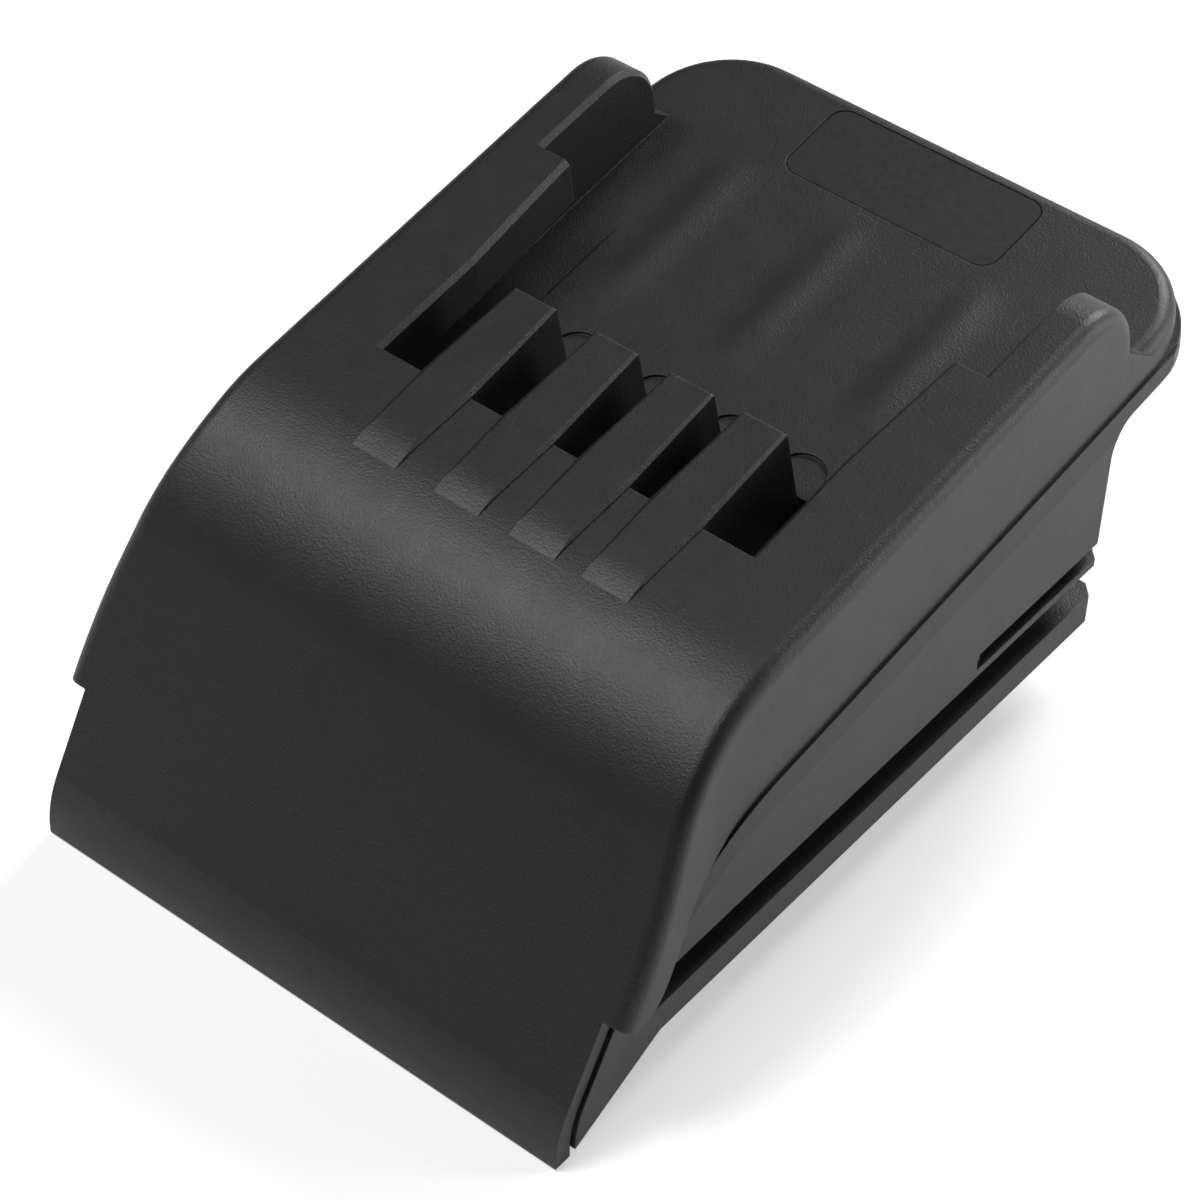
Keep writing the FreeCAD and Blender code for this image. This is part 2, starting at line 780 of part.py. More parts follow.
# Lower shell: side outline, then plan outline
base = new_body("base_housing")
shelf_level = on_deck(0, -d.shelf_depth)
shelf_inner_z = shelf_level[1] + (d.rear_wall_top - shelf_level[0]) * deck_slope
outline = new_sketch(base, "base_outline", "YZ_Plane")
add_loop(outline, [
    (lip_inner_y, -d.lip_drop + 0.9),
    (-d.chin_start, 0),
    (d.rear_wall_foot, 0),
    (d.rear_wall_top, shelf_inner_z, d.shelf_inner_round),
    on_deck(d.rear_reach, -d.shelf_depth),
] + list(reversed(seam_line())) + [lip_inner_bend])
extrude("Pad", outline, d.base_width + 4, both_sides=True)
trim_to_plan(base, "base_plan", half_base, flared=False)


# Bevelled lower edge of the rear shelf
def is_shelf_edge(edge):
    middle = edge.valueAt((edge.FirstParameter + edge.LastParameter) / 2)
    along, height = deck_place(middle)
    return abs(height + d.shelf_depth.value) < 0.02 and (
        middle.y > d.rear_wall_top.value + 3.5
        and (abs(middle.x) > half_base.value - 4 or along > d.rear_reach.value - 3))


soften(base, "shelf_edge", is_shelf_edge, d.shelf_edge_bevel, kind="Chamfer")

# Facet along the seam: the side leans inwards to meet the upper shell, narrowing to the front
def faceted_seam(share):
    """Seam corners, each lowered by `share` of the facet's depth there."""
    drops = [d.facet_tip, d.facet_foot, d.facet_bend, d.facet_depth]
    shifts = [-3, 0, 0, 0]
    return [(corner[0] + shift, corner[1] - drop * share) + tuple(corner[2:])
            for corner, drop, shift in zip(seam_line(), drops, shifts)]


for side, label in ((1, "right"), (-1, "left")):
    sections = []
    for step, share in ((-2, -1), (1, 2)):
        section = new_sketch(base, label + "_facet_section", "YZ_Plane",
                             (0, 0, side * (half_base + d.facet_lean * step)))
        edge_line = faceted_seam(share)
        rear_y, rear_z = edge_line[-1]
        add_loop(section, edge_line[:-1] + [
            (rear_y + 4, rear_z + 4 * deck_slope),
            (rear_y + 4, seam_rear[1] + 6),
            (seam_tip[0] - 3, seam_rear[1] + 6),
        ])
        section.Visibility = False
        sections.append(section)
    facet = base.newObject("PartDesign::SubtractiveLoft", label + "_facet")
    facet.Profile = sections[0]
    facet.Sections = [sections[1]]
    facet.Ruled = True
    document.recompute()

# Narrow dark line between the shells
half_cavity = d.hollow_width / 2
for side, label in ((1, "right"), (-1, "left")):
    gap = new_sketch(base, label + "_seam_gap", "YZ_Plane",
                     (0, 0, side * (half_base - d.seam_gap_depth)))
    dropped = seam_line(d.seam_gap)
    add_loop(gap, [
        (lip_inner_y + d.seam_gap, -d.lip_drop - 1),
        (lip_inner_y + d.seam_gap, lip_bend_z, d.lip_round - d.apron_wall - d.seam_gap),
        (dropped[0][0] + d.seam_gap * 0.6, dropped[0][1]),
    ] + dropped[1:-1] + [
        (dropped[-1][0] + 4, dropped[-1][1] + 4 * deck_slope),
        (dropped[-1][0] + 4, dropped[-1][1] + 6),
        (-60, dropped[-1][1] + 6),
        (-60, -d.lip_drop - 1),
    ])
    extrude("Pocket", gap, 4, reverse=(side == 1))

# Cavity for the board
cavity = new_sketch(base, "cavity", "XY_Plane", (0, 0, d.floor_thickness))
add_box(cavity, -half_cavity, half_cavity, -d.cavity_front,
        d.rear_wall_foot - d.rear_wall, 3)
extrude("Pocket", cavity, 60, reverse=True)

# Slide grooves and the stepped slits above them, open at the rear
far_rear = d.rear_wall_top + 8
for side, label in ((1, "right"), (-1, "left")):
    groove = new_sketch(base, label + "_groove", "YZ_Plane",
                        (0, 0, side * (half_base - d.groove_depth)))
    add_loop(groove, [
        (-d.groove_front, d.groove_low),
        (far_rear, d.groove_low),
        (far_rear, d.groove_high),
        (-d.groove_front, d.groove_high, 1.0),
    ])
    extrude("Pocket", groove, d.groove_depth + 3, reverse=(side == 1))
    slit = new_sketch(base, label + "_slit", "YZ_Plane",
                      (0, 0, side * (half_base - d.slit_depth)))
    add_box(slit, d.slit_front, far_rear, d.slit_low, d.slit_step)
    extrude("Pocket", slit, d.slit_depth + 3, reverse=(side == 1))
    step = new_sketch(base, label + "_slit_step", "YZ_Plane",
                      (0, 0, side * (half_base - d.slit_step_depth)))
    add_box(step, d.slit_front + 0.3, far_rear, d.slit_step - 0.1, d.slit_high)
    extrude("Pocket", step, d.slit_step_depth + 3, reverse=(side == 1))

# Posts for the case screws, drilled and counterbored from below
for label, y in (("front", d.case_screw_front), ("rear", d.case_screw_rear)):
    posts = new_sketch(base, label + "_posts", "XY_Plane", (0, 0, d.floor_thickness - 0.5))
    holes = new_sketch(base, label + "_post_holes", "XY_Plane", (0, 0, -1))
    heads = new_sketch(base, label + "_head_wells", "XY_Plane", (0, 0, -1))
    for side in (1, -1):
        x = side * d.case_screw_side
        add_circle(posts, x, y, d.case_post_radius + 0.6)
        add_circle(holes, x, y, d.screw_radius + d.screw_clearance)
        add_circle(heads, x, y, d.screw_head_radius + d.screw_clearance)
    extrude("Pad", posts, post_tops[label] - d.floor_thickness + 0.5)
    extrude("Pocket", holes, post_tops[label] + 2, reverse=True)
    head_seat = post_tops[label] - (d.case_screw_length - d.case_screw_grip - d.post_gap)
    extrude("Pocket", heads, head_seat + 1, reverse=True)

# Window for the output block, open towards the rear
window = new_sketch(base, "output_window", "XY_Plane", (0, 0, -1))
half_window = d.output_width / 2 + d.output_clearance
add_box(window, -half_window, half_window, d.output_start, d.rear_wall_top + 2)
extrude("Pocket", window, d.output_height + d.output_clearance + 1, reverse=True)

# Circuit board, parallel to the deck, screwed to the bosses of the upper shell
board_top = -d.seam_depth - d.board_gap
board_low = board_top - d.board_thickness
board = new_body("circuit_board")
plate = deck_sketch(board, "board_outline", board_low)
half_board = d.board_width / 2
add_box(plate, -half_board, half_board, d.board_front, d.board_rear)
for side in (1, -1):
    add_circle(plate, side * d.board_screw_side, d.board_screw_place,
               d.small_screw_radius + d.screw_clearance)
half_thick = d.contact_thickness / 2
tail_start = d.slot_start + 0.3
tail_end = tail_start + d.contact_tail_width
room = d.contact_clearance
for place in rib_places:
    add_box(plate, place - half_thick - room, place + half_thick + room,
            tail_start - room, tail_end + room)
output_places = [d.output_pitch * step for step in (-1.5, -0.5, 0.5, 1.5)]
pin_y = d.output_slot_start + 5
pin_along = deck_along(pin_y, board_low)
half_pin = d.output_contact_thickness / 2
for place in output_places:
    add_box(plate, place - half_pin - room, place + half_pin + room,
            pin_along - 0.6, pin_along + d.output_pin_width + 0.8)
part_spots = {
    "id_resistor": (-8.0, -3.0, d.resistor_length, d.resistor_radius),
    "blocking_diode": (8.0, -9.0, d.diode_length, d.diode_radius),
}
for x, along, length, radius in part_spots.values():
    for side in (1, -1):
        lead_x = x + side * length * 0.8
        reach = d.lead_radius + 0.1
        add_box(plate, lead_x - reach, lead_x + reach, along - reach, along + reach)
extrude("Pad", plate, d.board_thickness)

# Contact carrier, clamped between the pocket floor and the board
carrier = new_body("contact_carrier")
block = deck_sketch(carrier, "carrier_outline", board_top)
half_carrier = d.carrier_width / 2
add_box(block, -half_carrier, half_carrier, d.carrier_start, d.carrier_end)
for place in rib_places:
    add_box(block, place - half_thick - 0.1, place + half_thick + 0.1,
            tail_start - 0.1, tail_end + 0.1)
extrude("Pad", block, d.board_gap)

# Battery contacts: forks standing in the rib slots, tails through carrier and board
contact_names = ["battery_contact_positive", "battery_contact_thermal",
                 "battery_contact_data", "battery_contact_negative"]
fork_top = -d.slot_roof - 0.3
fork_low = -d.pocket_depth + 0.2
throat = -d.contact_throat
mouth = d.contact_mouth / 2
for name, place in zip(contact_names, rib_places):
    contact = new_body(name)
    fork = new_sketch(contact, name + "_fork", "YZ_Plane", (0, 0, place - half_thick))
    add_loop(fork, [
        on_deck(d.slot_start + 0.2, fork_top),
        on_deck(d.contact_reach - 0.8, fork_top),
        on_deck(d.contact_reach, fork_top - 1.5),
        on_deck(d.contact_reach, throat + mouth * 3),
        on_deck(d.contact_reach - 2, throat + mouth),
        on_deck(d.slot_start + 3, throat + mouth * 2),
        on_deck(d.slot_start + 3, throat - mouth * 2),
        on_deck(d.contact_reach - 2, throat - mouth),
        on_deck(d.contact_reach, throat - mouth * 3),
        on_deck(d.contact_reach, fork_low + 1.5),
        on_deck(d.contact_reach - 0.8, fork_low),
        on_deck(tail_end, fork_low),
        on_deck(tail_end, -d.contact_tail),
        on_deck(tail_start, -d.contact_tail),
        on_deck(tail_start, fork_low),
        on_deck(d.slot_start + 0.2, fork_low),
    ])
    extrude("Pad", fork, d.contact_thickness)

# Output block in the floor of the lower shell, with four slots open to the rear and below
output = new_body("output_block")
inner_wall_y = d.rear_wall_foot - d.rear_wall
flange = new_sketch(output, "output_flange_outline", "XY_Plane", (0, 0, d.floor_thickness))
half_output = d.output_width / 2
half_flange = half_output + d.output_flange
add_box(flange, -half_flange, half_flange, d.output_start - d.output_flange,
        inner_wall_y - 0.1)
extrude("Pad", flange, d.output_flange_thickness)
body_sketch = new_sketch(output, "output_body_outline", "XY_Plane",
                         (0, 0, d.output_clearance))
add_box(body_sketch, -half_output, half_output, d.output_start + d.output_clearance,
        d.rear_wall_foot - 0.2)
extrude("Pad", body_sketch, d.output_height - d.output_clearance)
ports = new_sketch(output, "output_slots", "XY_Plane")
pins = new_sketch(output, "output_pin_holes", "XY_Plane")
for place in output_places:
    half_port = d.output_slot_width / 2
    add_box(ports, place - half_port, place + half_port,
            d.output_slot_start, d.rear_wall_foot + 1)
    add_box(pins, place - half_pin - 0.1, place + half_pin + 0.1,
            pin_y - 0.1, pin_y + d.output_pin_width + 0.1)
extrude("Pocket", ports, d.output_slot_height, reverse=True)
extrude("Pocket", pins, d.output_height + 1, reverse=True)

output_names = ["output_contact_positive", "output_contact_thermal",
                "output_contact_data", "output_contact_negative"]
contact_y = d.output_slot_start + 2
contact_end = contact_y + d.output_contact_length
for name, place in zip(output_names, output_places):
    contact = new_body(name)
    fork = new_sketch(contact, name + "_fork", "YZ_Plane", (0, 0, place - half_pin))
    add_loop(fork, [
        (contact_y, 1.2),
        (contact_end - 1, 1.2),
        (contact_end, 2.2),
        (contact_end - 2, 3.3),
        (contact_y + 4, 3.0),
        (contact_y + 4, 4.6),
        (contact_end - 2, 4.3),
        (contact_end, 5.4),
        (contact_end - 1, d.output_slot_height),
        (pin_y + d.output_pin_width, d.output_slot_height),
        (pin_y + d.output_pin_width, d.output_pin_top),
        (pin_y, d.output_pin_top),
        (pin_y, d.output_slot_height),
        (contact_y, d.output_slot_height),
    ])
    extrude("Pad", fork, d.output_contact_thickness)

# Parts soldered under the board
fuse = new_body("board_fuse")
case = deck_sketch(fuse, "fuse_outline", board_low)
add_box(case, d.fuse_side, d.fuse_side + d.fuse_length,
        d.fuse_place, d.fuse_place + d.fuse_width)
extrude("Pad", case, d.fuse_height, reverse=True)
capacitor = new_body("filter_capacitor")
can = deck_sketch(capacitor, "capacitor_outline", board_low)
add_circle(can, d.capacitor_side, d.capacitor_place, d.capacitor_radius)
extrude("Pad", can, d.capacitor_height, reverse=True)
for name, (x, along, length, radius) in part_spots.items():
    axial = new_body(name)
    height = board_low - radius - 0.3
    tube = new_sketch(axial, name + "_tube", "YZ_Plane", (0, 0, x - length / 2))
    y, z = on_deck(along, height)
    add_circle(tube, y, z, radius)
    extrude("Pad", tube, length)
    wire = new_sketch(axial, name + "_wire", "YZ_Plane", (0, 0, x - length * 0.8))
    add_box(wire, y - d.lead_radius, y + d.lead_radius, z - d.lead_radius, z + d.lead_radius)
    extrude("Pad", wire, length * 1.6)
    legs = deck_sketch(axial, name + "_legs", height)
    for side in (1, -1):
        lead_x = x + side * length * 0.8
        add_box(legs, lead_x - d.lead_radius, lead_x + d.lead_radius,
                along - d.lead_radius, along + d.lead_radius)
    extrude("Pad", legs, radius + 0.3 + d.board_thickness + 0.8)

# Screws: each group is one node with a solid for every screw
case_screws = new_body("case_screws")
case_screws.AllowCompound = True
for label, y in (("front", d.case_screw_front), ("rear", d.case_screw_rear)):
    head_seat = post_tops[label] - (d.case_screw_length - d.case_screw_grip - d.post_gap)
    heads = new_sketch(case_screws, label + "_screw_heads", "XY_Plane",
                       (0, 0, head_seat - d.screw_head_height))
    shanks = new_sketch(case_screws, label + "_screw_shanks", "XY_Plane",
                        (0, 0, head_seat - 0.5))
    for side in (1, -1):
        add_circle(heads, side * d.case_screw_side, y, d.screw_head_radius)
        add_circle(shanks, side * d.case_screw_side, y, d.screw_radius)
    extrude("Pad", heads, d.screw_head_height)
    extrude("Pad", shanks, d.case_screw_length + 0.5)
board_screws = new_body("board_screws")
board_screws.AllowCompound = True
heads = deck_sketch(board_screws, "board_screw_heads", board_low)
shanks = deck_sketch(board_screws, "board_screw_shanks", board_low - 0.5)
for side in (1, -1):
    add_circle(heads, side * d.board_screw_side, d.board_screw_place, d.small_head_radius)
    add_circle(shanks, side * d.board_screw_side, d.board_screw_place, d.small_screw_radius)
extrude("Pad", heads, d.small_head_height, reverse=True)
extrude("Pad", shanks, d.small_screw_length + 0.5)

# Blank label film in its recess
film = new_body("rating_label")
sheet_outline = deck_sketch(film, "label_outline", -d.rail_height - d.label_depth)
inset = 0.15
add_box(sheet_outline, inset - half_label, half_label - inset,
        d.label_start + inset, d.label_end - inset, d.label_round - inset)
extrude("Pad", sheet_outline, d.label_depth - 0.05)

# Write every piece to its own file
document.recompute()
os.makedirs("parts", exist_ok=True)
for item in document.Objects:
    if "Invalid" in item.State or "Error" in item.State:
        raise RuntimeError("broken feature: " + item.Label)
bodies = [item for item in document.Objects if item.TypeId == "PartDesign::Body"]
for body in bodies:
    shape = body.Shape
    if shape.isNull() or not shape.isValid():
        raise RuntimeError("broken shape: " + body.Label)
    shape.exportStep("parts/" + body.Label + ".step")
    print(body.Label, len(shape.Solids), round(shape.Volume, 1))
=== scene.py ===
# %% [markdown]
# # A charging dock for a slide-on tool battery
#
# The real thing is a pair of moulded shells. The upper one carries two rails that hold the
# battery and four contact fingers that reach over a pocket. The lower one has a flat foot with
# a slide groove on each side and a block of blade contacts in its floor.
#
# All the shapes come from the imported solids, so this lesson is about finish: how a plain black
# moulding gets its grain, how punched metal differs from plated steel, how screws are built by
# a rule, and how to light a dark object so that its edges can be read.

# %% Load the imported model
import math

import bpy
from mathutils import Matrix, Vector


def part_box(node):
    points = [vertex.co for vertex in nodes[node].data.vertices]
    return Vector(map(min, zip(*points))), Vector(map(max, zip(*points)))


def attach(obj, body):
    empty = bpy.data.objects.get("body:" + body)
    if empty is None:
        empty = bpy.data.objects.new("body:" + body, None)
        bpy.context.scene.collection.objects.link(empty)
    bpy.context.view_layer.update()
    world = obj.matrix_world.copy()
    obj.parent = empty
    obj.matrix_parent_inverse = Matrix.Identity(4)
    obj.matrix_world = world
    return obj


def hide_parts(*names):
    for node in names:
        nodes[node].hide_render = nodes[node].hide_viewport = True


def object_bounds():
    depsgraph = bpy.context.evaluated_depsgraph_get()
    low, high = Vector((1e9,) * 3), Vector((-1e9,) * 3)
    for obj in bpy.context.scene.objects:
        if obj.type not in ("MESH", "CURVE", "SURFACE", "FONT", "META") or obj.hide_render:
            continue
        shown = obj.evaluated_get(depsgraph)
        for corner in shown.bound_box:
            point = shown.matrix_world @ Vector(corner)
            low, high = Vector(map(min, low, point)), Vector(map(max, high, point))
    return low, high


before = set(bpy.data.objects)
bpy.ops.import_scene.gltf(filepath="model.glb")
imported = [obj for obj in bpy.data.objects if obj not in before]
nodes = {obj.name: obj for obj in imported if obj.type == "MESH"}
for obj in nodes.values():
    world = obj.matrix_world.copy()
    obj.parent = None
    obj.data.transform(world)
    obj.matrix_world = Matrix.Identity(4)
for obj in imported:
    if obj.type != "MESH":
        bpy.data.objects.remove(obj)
solid_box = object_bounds()
MM = 0.001
print("pieces in the frame:", len(nodes))
print("box in mm:", [round(v / MM, 1) for corner in solid_box for v in corner])

# %% [markdown]
# Colours are written the way a designer writes them, as sRGB hex values. Blender's shaders
# work in linear light, so one function turns the first into the second.


# %% Turn a hex colour into linear light
def linear(hex_colour):
    """Linear RGBA from a colour such as '#3c3c3e'."""
    values = []
    for start in (1, 3, 5):
        share = int(hex_colour[start:start + 2], 16) / 255
        if share <= 0.04045:
            values.append(share / 12.92)
        else:
            values.append(((share + 0.055) / 1.055) ** 2.4)
    return (*values, 1.0)


print("mid grey in linear light:", round(linear("#808080")[0], 3))


# %% [markdown]
# Every material and every node group below is built by hand, one node at a time. A single
# small function adds a node, sets its options and fills its inputs. An input can be a number,
# a colour or the output of an earlier node.


# %% Add one node with its settings and links
def add_node(tree, kind, inputs=None, **settings):
    """New node of that kind; inputs maps a socket's name or number to a value or an output."""
    node = tree.nodes.new(kind)
    for name, value in settings.items():
        setattr(node, name, value)
    for socket, value in (inputs or {}).items():
        if isinstance(value, bpy.types.NodeSocket):
            tree.links.new(value, node.inputs[socket])
        else:
            node.inputs[socket].default_value = value
    return node


def new_material(name):
    """Empty material with its node tree cleared."""
    material = bpy.data.materials.new(name)
    material.use_nodes = True
    material.node_tree.nodes.clear()
    return material


def per_mm(size):
    """Texture scale at which one cell of a noise is `size` millimetres wide."""
    return 1 / (size * MM)


def dress(names, material):
    """Gives the material to these nodes of the frame."""
    for name in names:
        nodes[name].data.materials.clear()
        nodes[name].data.materials.append(material)
    print(material.name, "on", ", ".join(names))


# %% [markdown]
# ## The shells: black ABS with a spark-eroded skin
#
# ABS is the tough plastic of most tool housings. Its mould is finished by spark erosion, which
# leaves a skin of tiny shallow craters. They scatter the light, so the shell looks dull and
# grey rather than glossy and black, and its roundings show a fine sparkle.
#
# A Voronoi texture alone gives even cells, like hammered metal. A real skin is irregular, so
# most of its height comes from a Noise texture, and shallow Voronoi cells are added at a
# quarter of its weight. Both go into one Bump. A Bevel node adds the small radius that every
# moulded edge has, so that sharp edges catch the light.

# %% Sizes of the skin in millimetres
# Real craters are 0.05 to 0.1 mm wide and too fine to show, so they are drawn coarser
CRATER_MM = 0.32
CRATER_SHARE = 0.25
GRAIN_MM = 0.27
CLOUD_MM = 16.0
SMEAR_MM = 5.0
EDGE_RADIUS_MM = 0.22
SKIN_HEIGHT_MM = 0.050
ABS_IOR = 1.54
print("craters of", CRATER_MM, "mm,", round(1 / CRATER_MM, 1), "to a millimetre")

# %% Make the spark-eroded ABS
abs_skin = new_material("moulded_abs_spark_eroded")
tree = abs_skin.node_tree
place = add_node(tree, "ShaderNodeTexCoord").outputs["Object"]
crater = add_node(tree, "ShaderNodeTexVoronoi", {
    "Vector": place, "Scale": per_mm(CRATER_MM), "Smoothness": 0.6}, feature="SMOOTH_F1")
grain = add_node(tree, "ShaderNodeTexNoise", {
    "Vector": place, "Scale": per_mm(GRAIN_MM), "Detail": 2.0, "Roughness": 0.6})
cloud = add_node(tree, "ShaderNodeTexNoise", {
    "Vector": place, "Scale": per_mm(CLOUD_MM), "Detail": 3.0, "Roughness": 0.55})
smear = add_node(tree, "ShaderNodeTexNoise", {
    "Vector": place, "Scale": per_mm(SMEAR_MM), "Detail": 4.0, "Roughness": 0.6,
    "Distortion": 0.8})
skin = add_node(tree, "ShaderNodeMath", {
    0: crater.outputs["Distance"], 1: CRATER_SHARE, 2: grain.outputs["Fac"]},
    operation="MULTIPLY_ADD")
half_cloud = add_node(tree, "ShaderNodeMath", {
    0: cloud.outputs["Fac"], 1: 0.5}, operation="MULTIPLY")
mottle = add_node(tree, "ShaderNodeMath", {
    0: grain.outputs["Fac"], 1: 0.5, 2: half_cloud.outputs[0]}, operation="MULTIPLY_ADD")
colour = add_node(tree, "ShaderNodeMix", {
    "Factor": mottle.outputs[0], 6: linear("#161617"), 7: linear("#202021")},
    data_type="RGBA")
handled = add_node(tree, "ShaderNodeMapRange", {
    "Value": smear.outputs["Fac"], "From Min": 0.35, "From Max": 0.65,
    "To Min": 0.44, "To Max": 0.48})
edge = add_node(tree, "ShaderNodeBevel", {"Radius": EDGE_RADIUS_MM * MM}, samples=4)
bump = add_node(tree, "ShaderNodeBump", {
    "Height": skin.outputs[0], "Distance": SKIN_HEIGHT_MM * MM, "Strength": 1.0,
    "Normal": edge.outputs["Normal"]})
surface = add_node(tree, "ShaderNodeBsdfPrincipled", {
    "Base Color": colour.outputs[2], "Roughness": handled.outputs["Result"],
    "IOR": ABS_IOR, "Normal": bump.outputs["Normal"]})
add_node(tree, "ShaderNodeOutputMaterial", {"Surface": surface.outputs["BSDF"]})
dress(["top_housing", "base_housing"], abs_skin)

# %% [markdown]
# ## Soft swellings of the battery floor
#
# The battery floor isn't quite flat. Three long soft swellings run along it, where ribs below
# drew the plastic as it cooled. They are a few tenths of a millimetre high and have no edge.
# A bump in the material would leave the outline flat, so they are shapes: each is a grid laid
# on the floor, raised by a bell curve across and faded in and out along its length.
#
# The height of the floor is measured under every point of the grid by a ray from above. The
# rim sinks a hair below the floor, so that no edge shows, and a lower sheet closes the shape
# inside the wall of the shell.

# %% Sizes of the swellings
SWELLING_PLACES_MM = (-18.6, -1.4, 16.7)
SWELLING_SPREAD_MM = 1.75
SWELLING_HEIGHT_MM = 0.34
SWELLING_START_MM = 27.0
SWELLING_END_MM = 58.0
SWELLING_FADE_MM = 9.0
RIM_SUNK_MM = 0.012
SHEET_DROP_MM = 0.5
# The bell curve is cut off where its height has all but gone, this many spreads out
BELL_SPREADS = 3.4
ACROSS, ALONG = 28, 40


def smooth_step(share):
    """0 below 0, 1 above 1 and a smooth curve between."""
    share = min(1.0, max(0.0, share))
    return share * share * (3 - 2 * share)


# %% Build the swellings
bpy.context.view_layer.update()
verts, faces = [], []
for centre in SWELLING_PLACES_MM:
    start = len(verts)
    upper, lower = [], []
    for j in range(ALONG + 1):
        y = SWELLING_START_MM + (SWELLING_END_MM - SWELLING_START_MM) * j / ALONG
        fade = (smooth_step((y - SWELLING_START_MM) / SWELLING_FADE_MM)
                * smooth_step((SWELLING_END_MM - y) / SWELLING_FADE_MM))
        for i in range(ACROSS + 1):
            offset = BELL_SPREADS * SWELLING_SPREAD_MM * (2 * i / ACROSS - 1)
            above = Vector(((centre + offset) * MM, y * MM, solid_box[1][2] + MM))
            floor_point = nodes["top_housing"].ray_cast(above, Vector((0, 0, -1)))[1]
            bell = math.exp(-0.5 * (offset / SWELLING_SPREAD_MM) ** 2)
            rise = SWELLING_HEIGHT_MM * bell * fade - RIM_SUNK_MM
            upper.append((floor_point.x, floor_point.y, floor_point.z + rise * MM))
            lower.append((floor_point.x, floor_point.y, floor_point.z - SHEET_DROP_MM * MM))
    verts += upper + lower
    row, count = ACROSS + 1, len(upper)
    for j in range(ALONG):
        for i in range(ACROSS):
            a = start + j * row + i
            faces.append((a, a + 1, a + 1 + row, a + row))
            faces.append((a + count, a + count + row, a + count + row + 1, a + count + 1))
    rim = (list(range(ACROSS)) + [ACROSS + j * row for j in range(ALONG)]
           + [ALONG * row + i for i in range(ACROSS, 0, -1)]
           + [j * row for j in range(ALONG, 0, -1)])
    for one, two in zip(rim, rim[1:] + rim[:1]):
        faces.append((start + one, start + one + count, start + two + count, start + two))
mesh = bpy.data.meshes.new("floor_swellings")
mesh.from_pydata(verts, [], faces)
mesh.polygons.foreach_set("use_smooth", [True] * len(mesh.polygons))
mesh.materials.append(abs_skin)
swellings = bpy.data.objects.new("floor_swellings", mesh)
bpy.context.scene.collection.objects.link(swellings)
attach(swellings, "root")
heights = [v[2] for v in verts]
print("three swellings", SWELLING_HEIGHT_MM, "mm high,", len(faces), "faces, Z",
      round(min(heights) / MM, 1), "to", round(max(heights) / MM, 1))

# %% [markdown]
# ## The blank label: printed polyester film
#
# In the recess behind the battery lies a film of black polyester. On this dock it carries
# nothing. It is smoother than the shell, with the faint orange peel of a screen-printed
# lacquer, so it shows as a slightly different black.

# %% Make the label film
PEEL_MM = 0.9
PEEL_HEIGHT_MM = 0.006
DUST_MM = 0.25
film = new_material("screen_printed_polyester_film")
tree = film.node_tree
place = add_node(tree, "ShaderNodeTexCoord").outputs["Object"]
peel = add_node(tree, "ShaderNodeTexNoise", {
    "Vector": place, "Scale": per_mm(PEEL_MM), "Detail": 1.0})
dust = add_node(tree, "ShaderNodeTexNoise", {
    "Vector": place, "Scale": per_mm(DUST_MM), "Detail": 2.0})
colour = add_node(tree, "ShaderNodeMix", {
    "Factor": dust.outputs["Fac"], 6: linear("#262627"), 7: linear("#2f2f30")},
    data_type="RGBA")
gloss = add_node(tree, "ShaderNodeMapRange", {
    "Value": peel.outputs["Fac"], "To Min": 0.30, "To Max": 0.42})
bump = add_node(tree, "ShaderNodeBump", {
    "Height": peel.outputs["Fac"], "Distance": PEEL_HEIGHT_MM * MM, "Strength": 1.0})
surface = add_node(tree, "ShaderNodeBsdfPrincipled", {
    "Base Color": colour.outputs[2], "Roughness": gloss.outputs["Result"],
    "IOR": 1.57, "Normal": bump.outputs["Normal"]})
add_node(tree, "ShaderNodeOutputMaterial", {"Surface": surface.outputs["BSDF"]})
dress(["rating_label"], film)

# %% [markdown]
# ## Contact carrier and output block: glass-filled PBT
#
# The pieces that hold the live contacts are moulded from PBT, a stiff polyester with short
# glass fibres. The fibres line up with the flow and show as fine pale streaks. A Noise texture
# stretched by a Mapping node along Y gives the streaks.

# %% Make the glass-filled PBT
# A real fibre is only 0.01 mm thick, so bundles of fibres are drawn in its place
FIBRE_MM = 0.22
FIBRE_STRETCH = 9.0
FIBRE_HEIGHT_MM = 0.01
pbt = new_material("moulded_pbt_glass_filled")
tree = pbt.node_tree
place = add_node(tree, "ShaderNodeTexCoord").outputs["Object"]
flow = add_node(tree, "ShaderNodeMapping", {
    "Vector": place, "Scale": (1.0, 1 / FIBRE_STRETCH, 1.0)})
fibre = add_node(tree, "ShaderNodeTexNoise", {
    "Vector": flow.outputs["Vector"], "Scale": per_mm(FIBRE_MM), "Detail": 3.0})
colour = add_node(tree, "ShaderNodeMix", {
    "Factor": fibre.outputs["Fac"], 6: linear("#161617"), 7: linear("#303031")},
    data_type="RGBA")
bump = add_node(tree, "ShaderNodeBump", {
    "Height": fibre.outputs["Fac"], "Distance": FIBRE_HEIGHT_MM * MM, "Strength": 1.0})
surface = add_node(tree, "ShaderNodeBsdfPrincipled", {
    "Base Color": colour.outputs[2], "Roughness": 0.46, "IOR": 1.56,
    "Normal": bump.outputs["Normal"]})
add_node(tree, "ShaderNodeOutputMaterial", {"Surface": surface.outputs["BSDF"]})
dress(["contact_carrier", "output_block"], pbt)

# %% [markdown]
# ## Contacts: punched bronze with a tin skin
#
# The blades are punched from rolled bronze strip and tinned. Rolling leaves fine lines along
# the strip, and sliding batteries polish the tin, so the gloss varies in long streaks.

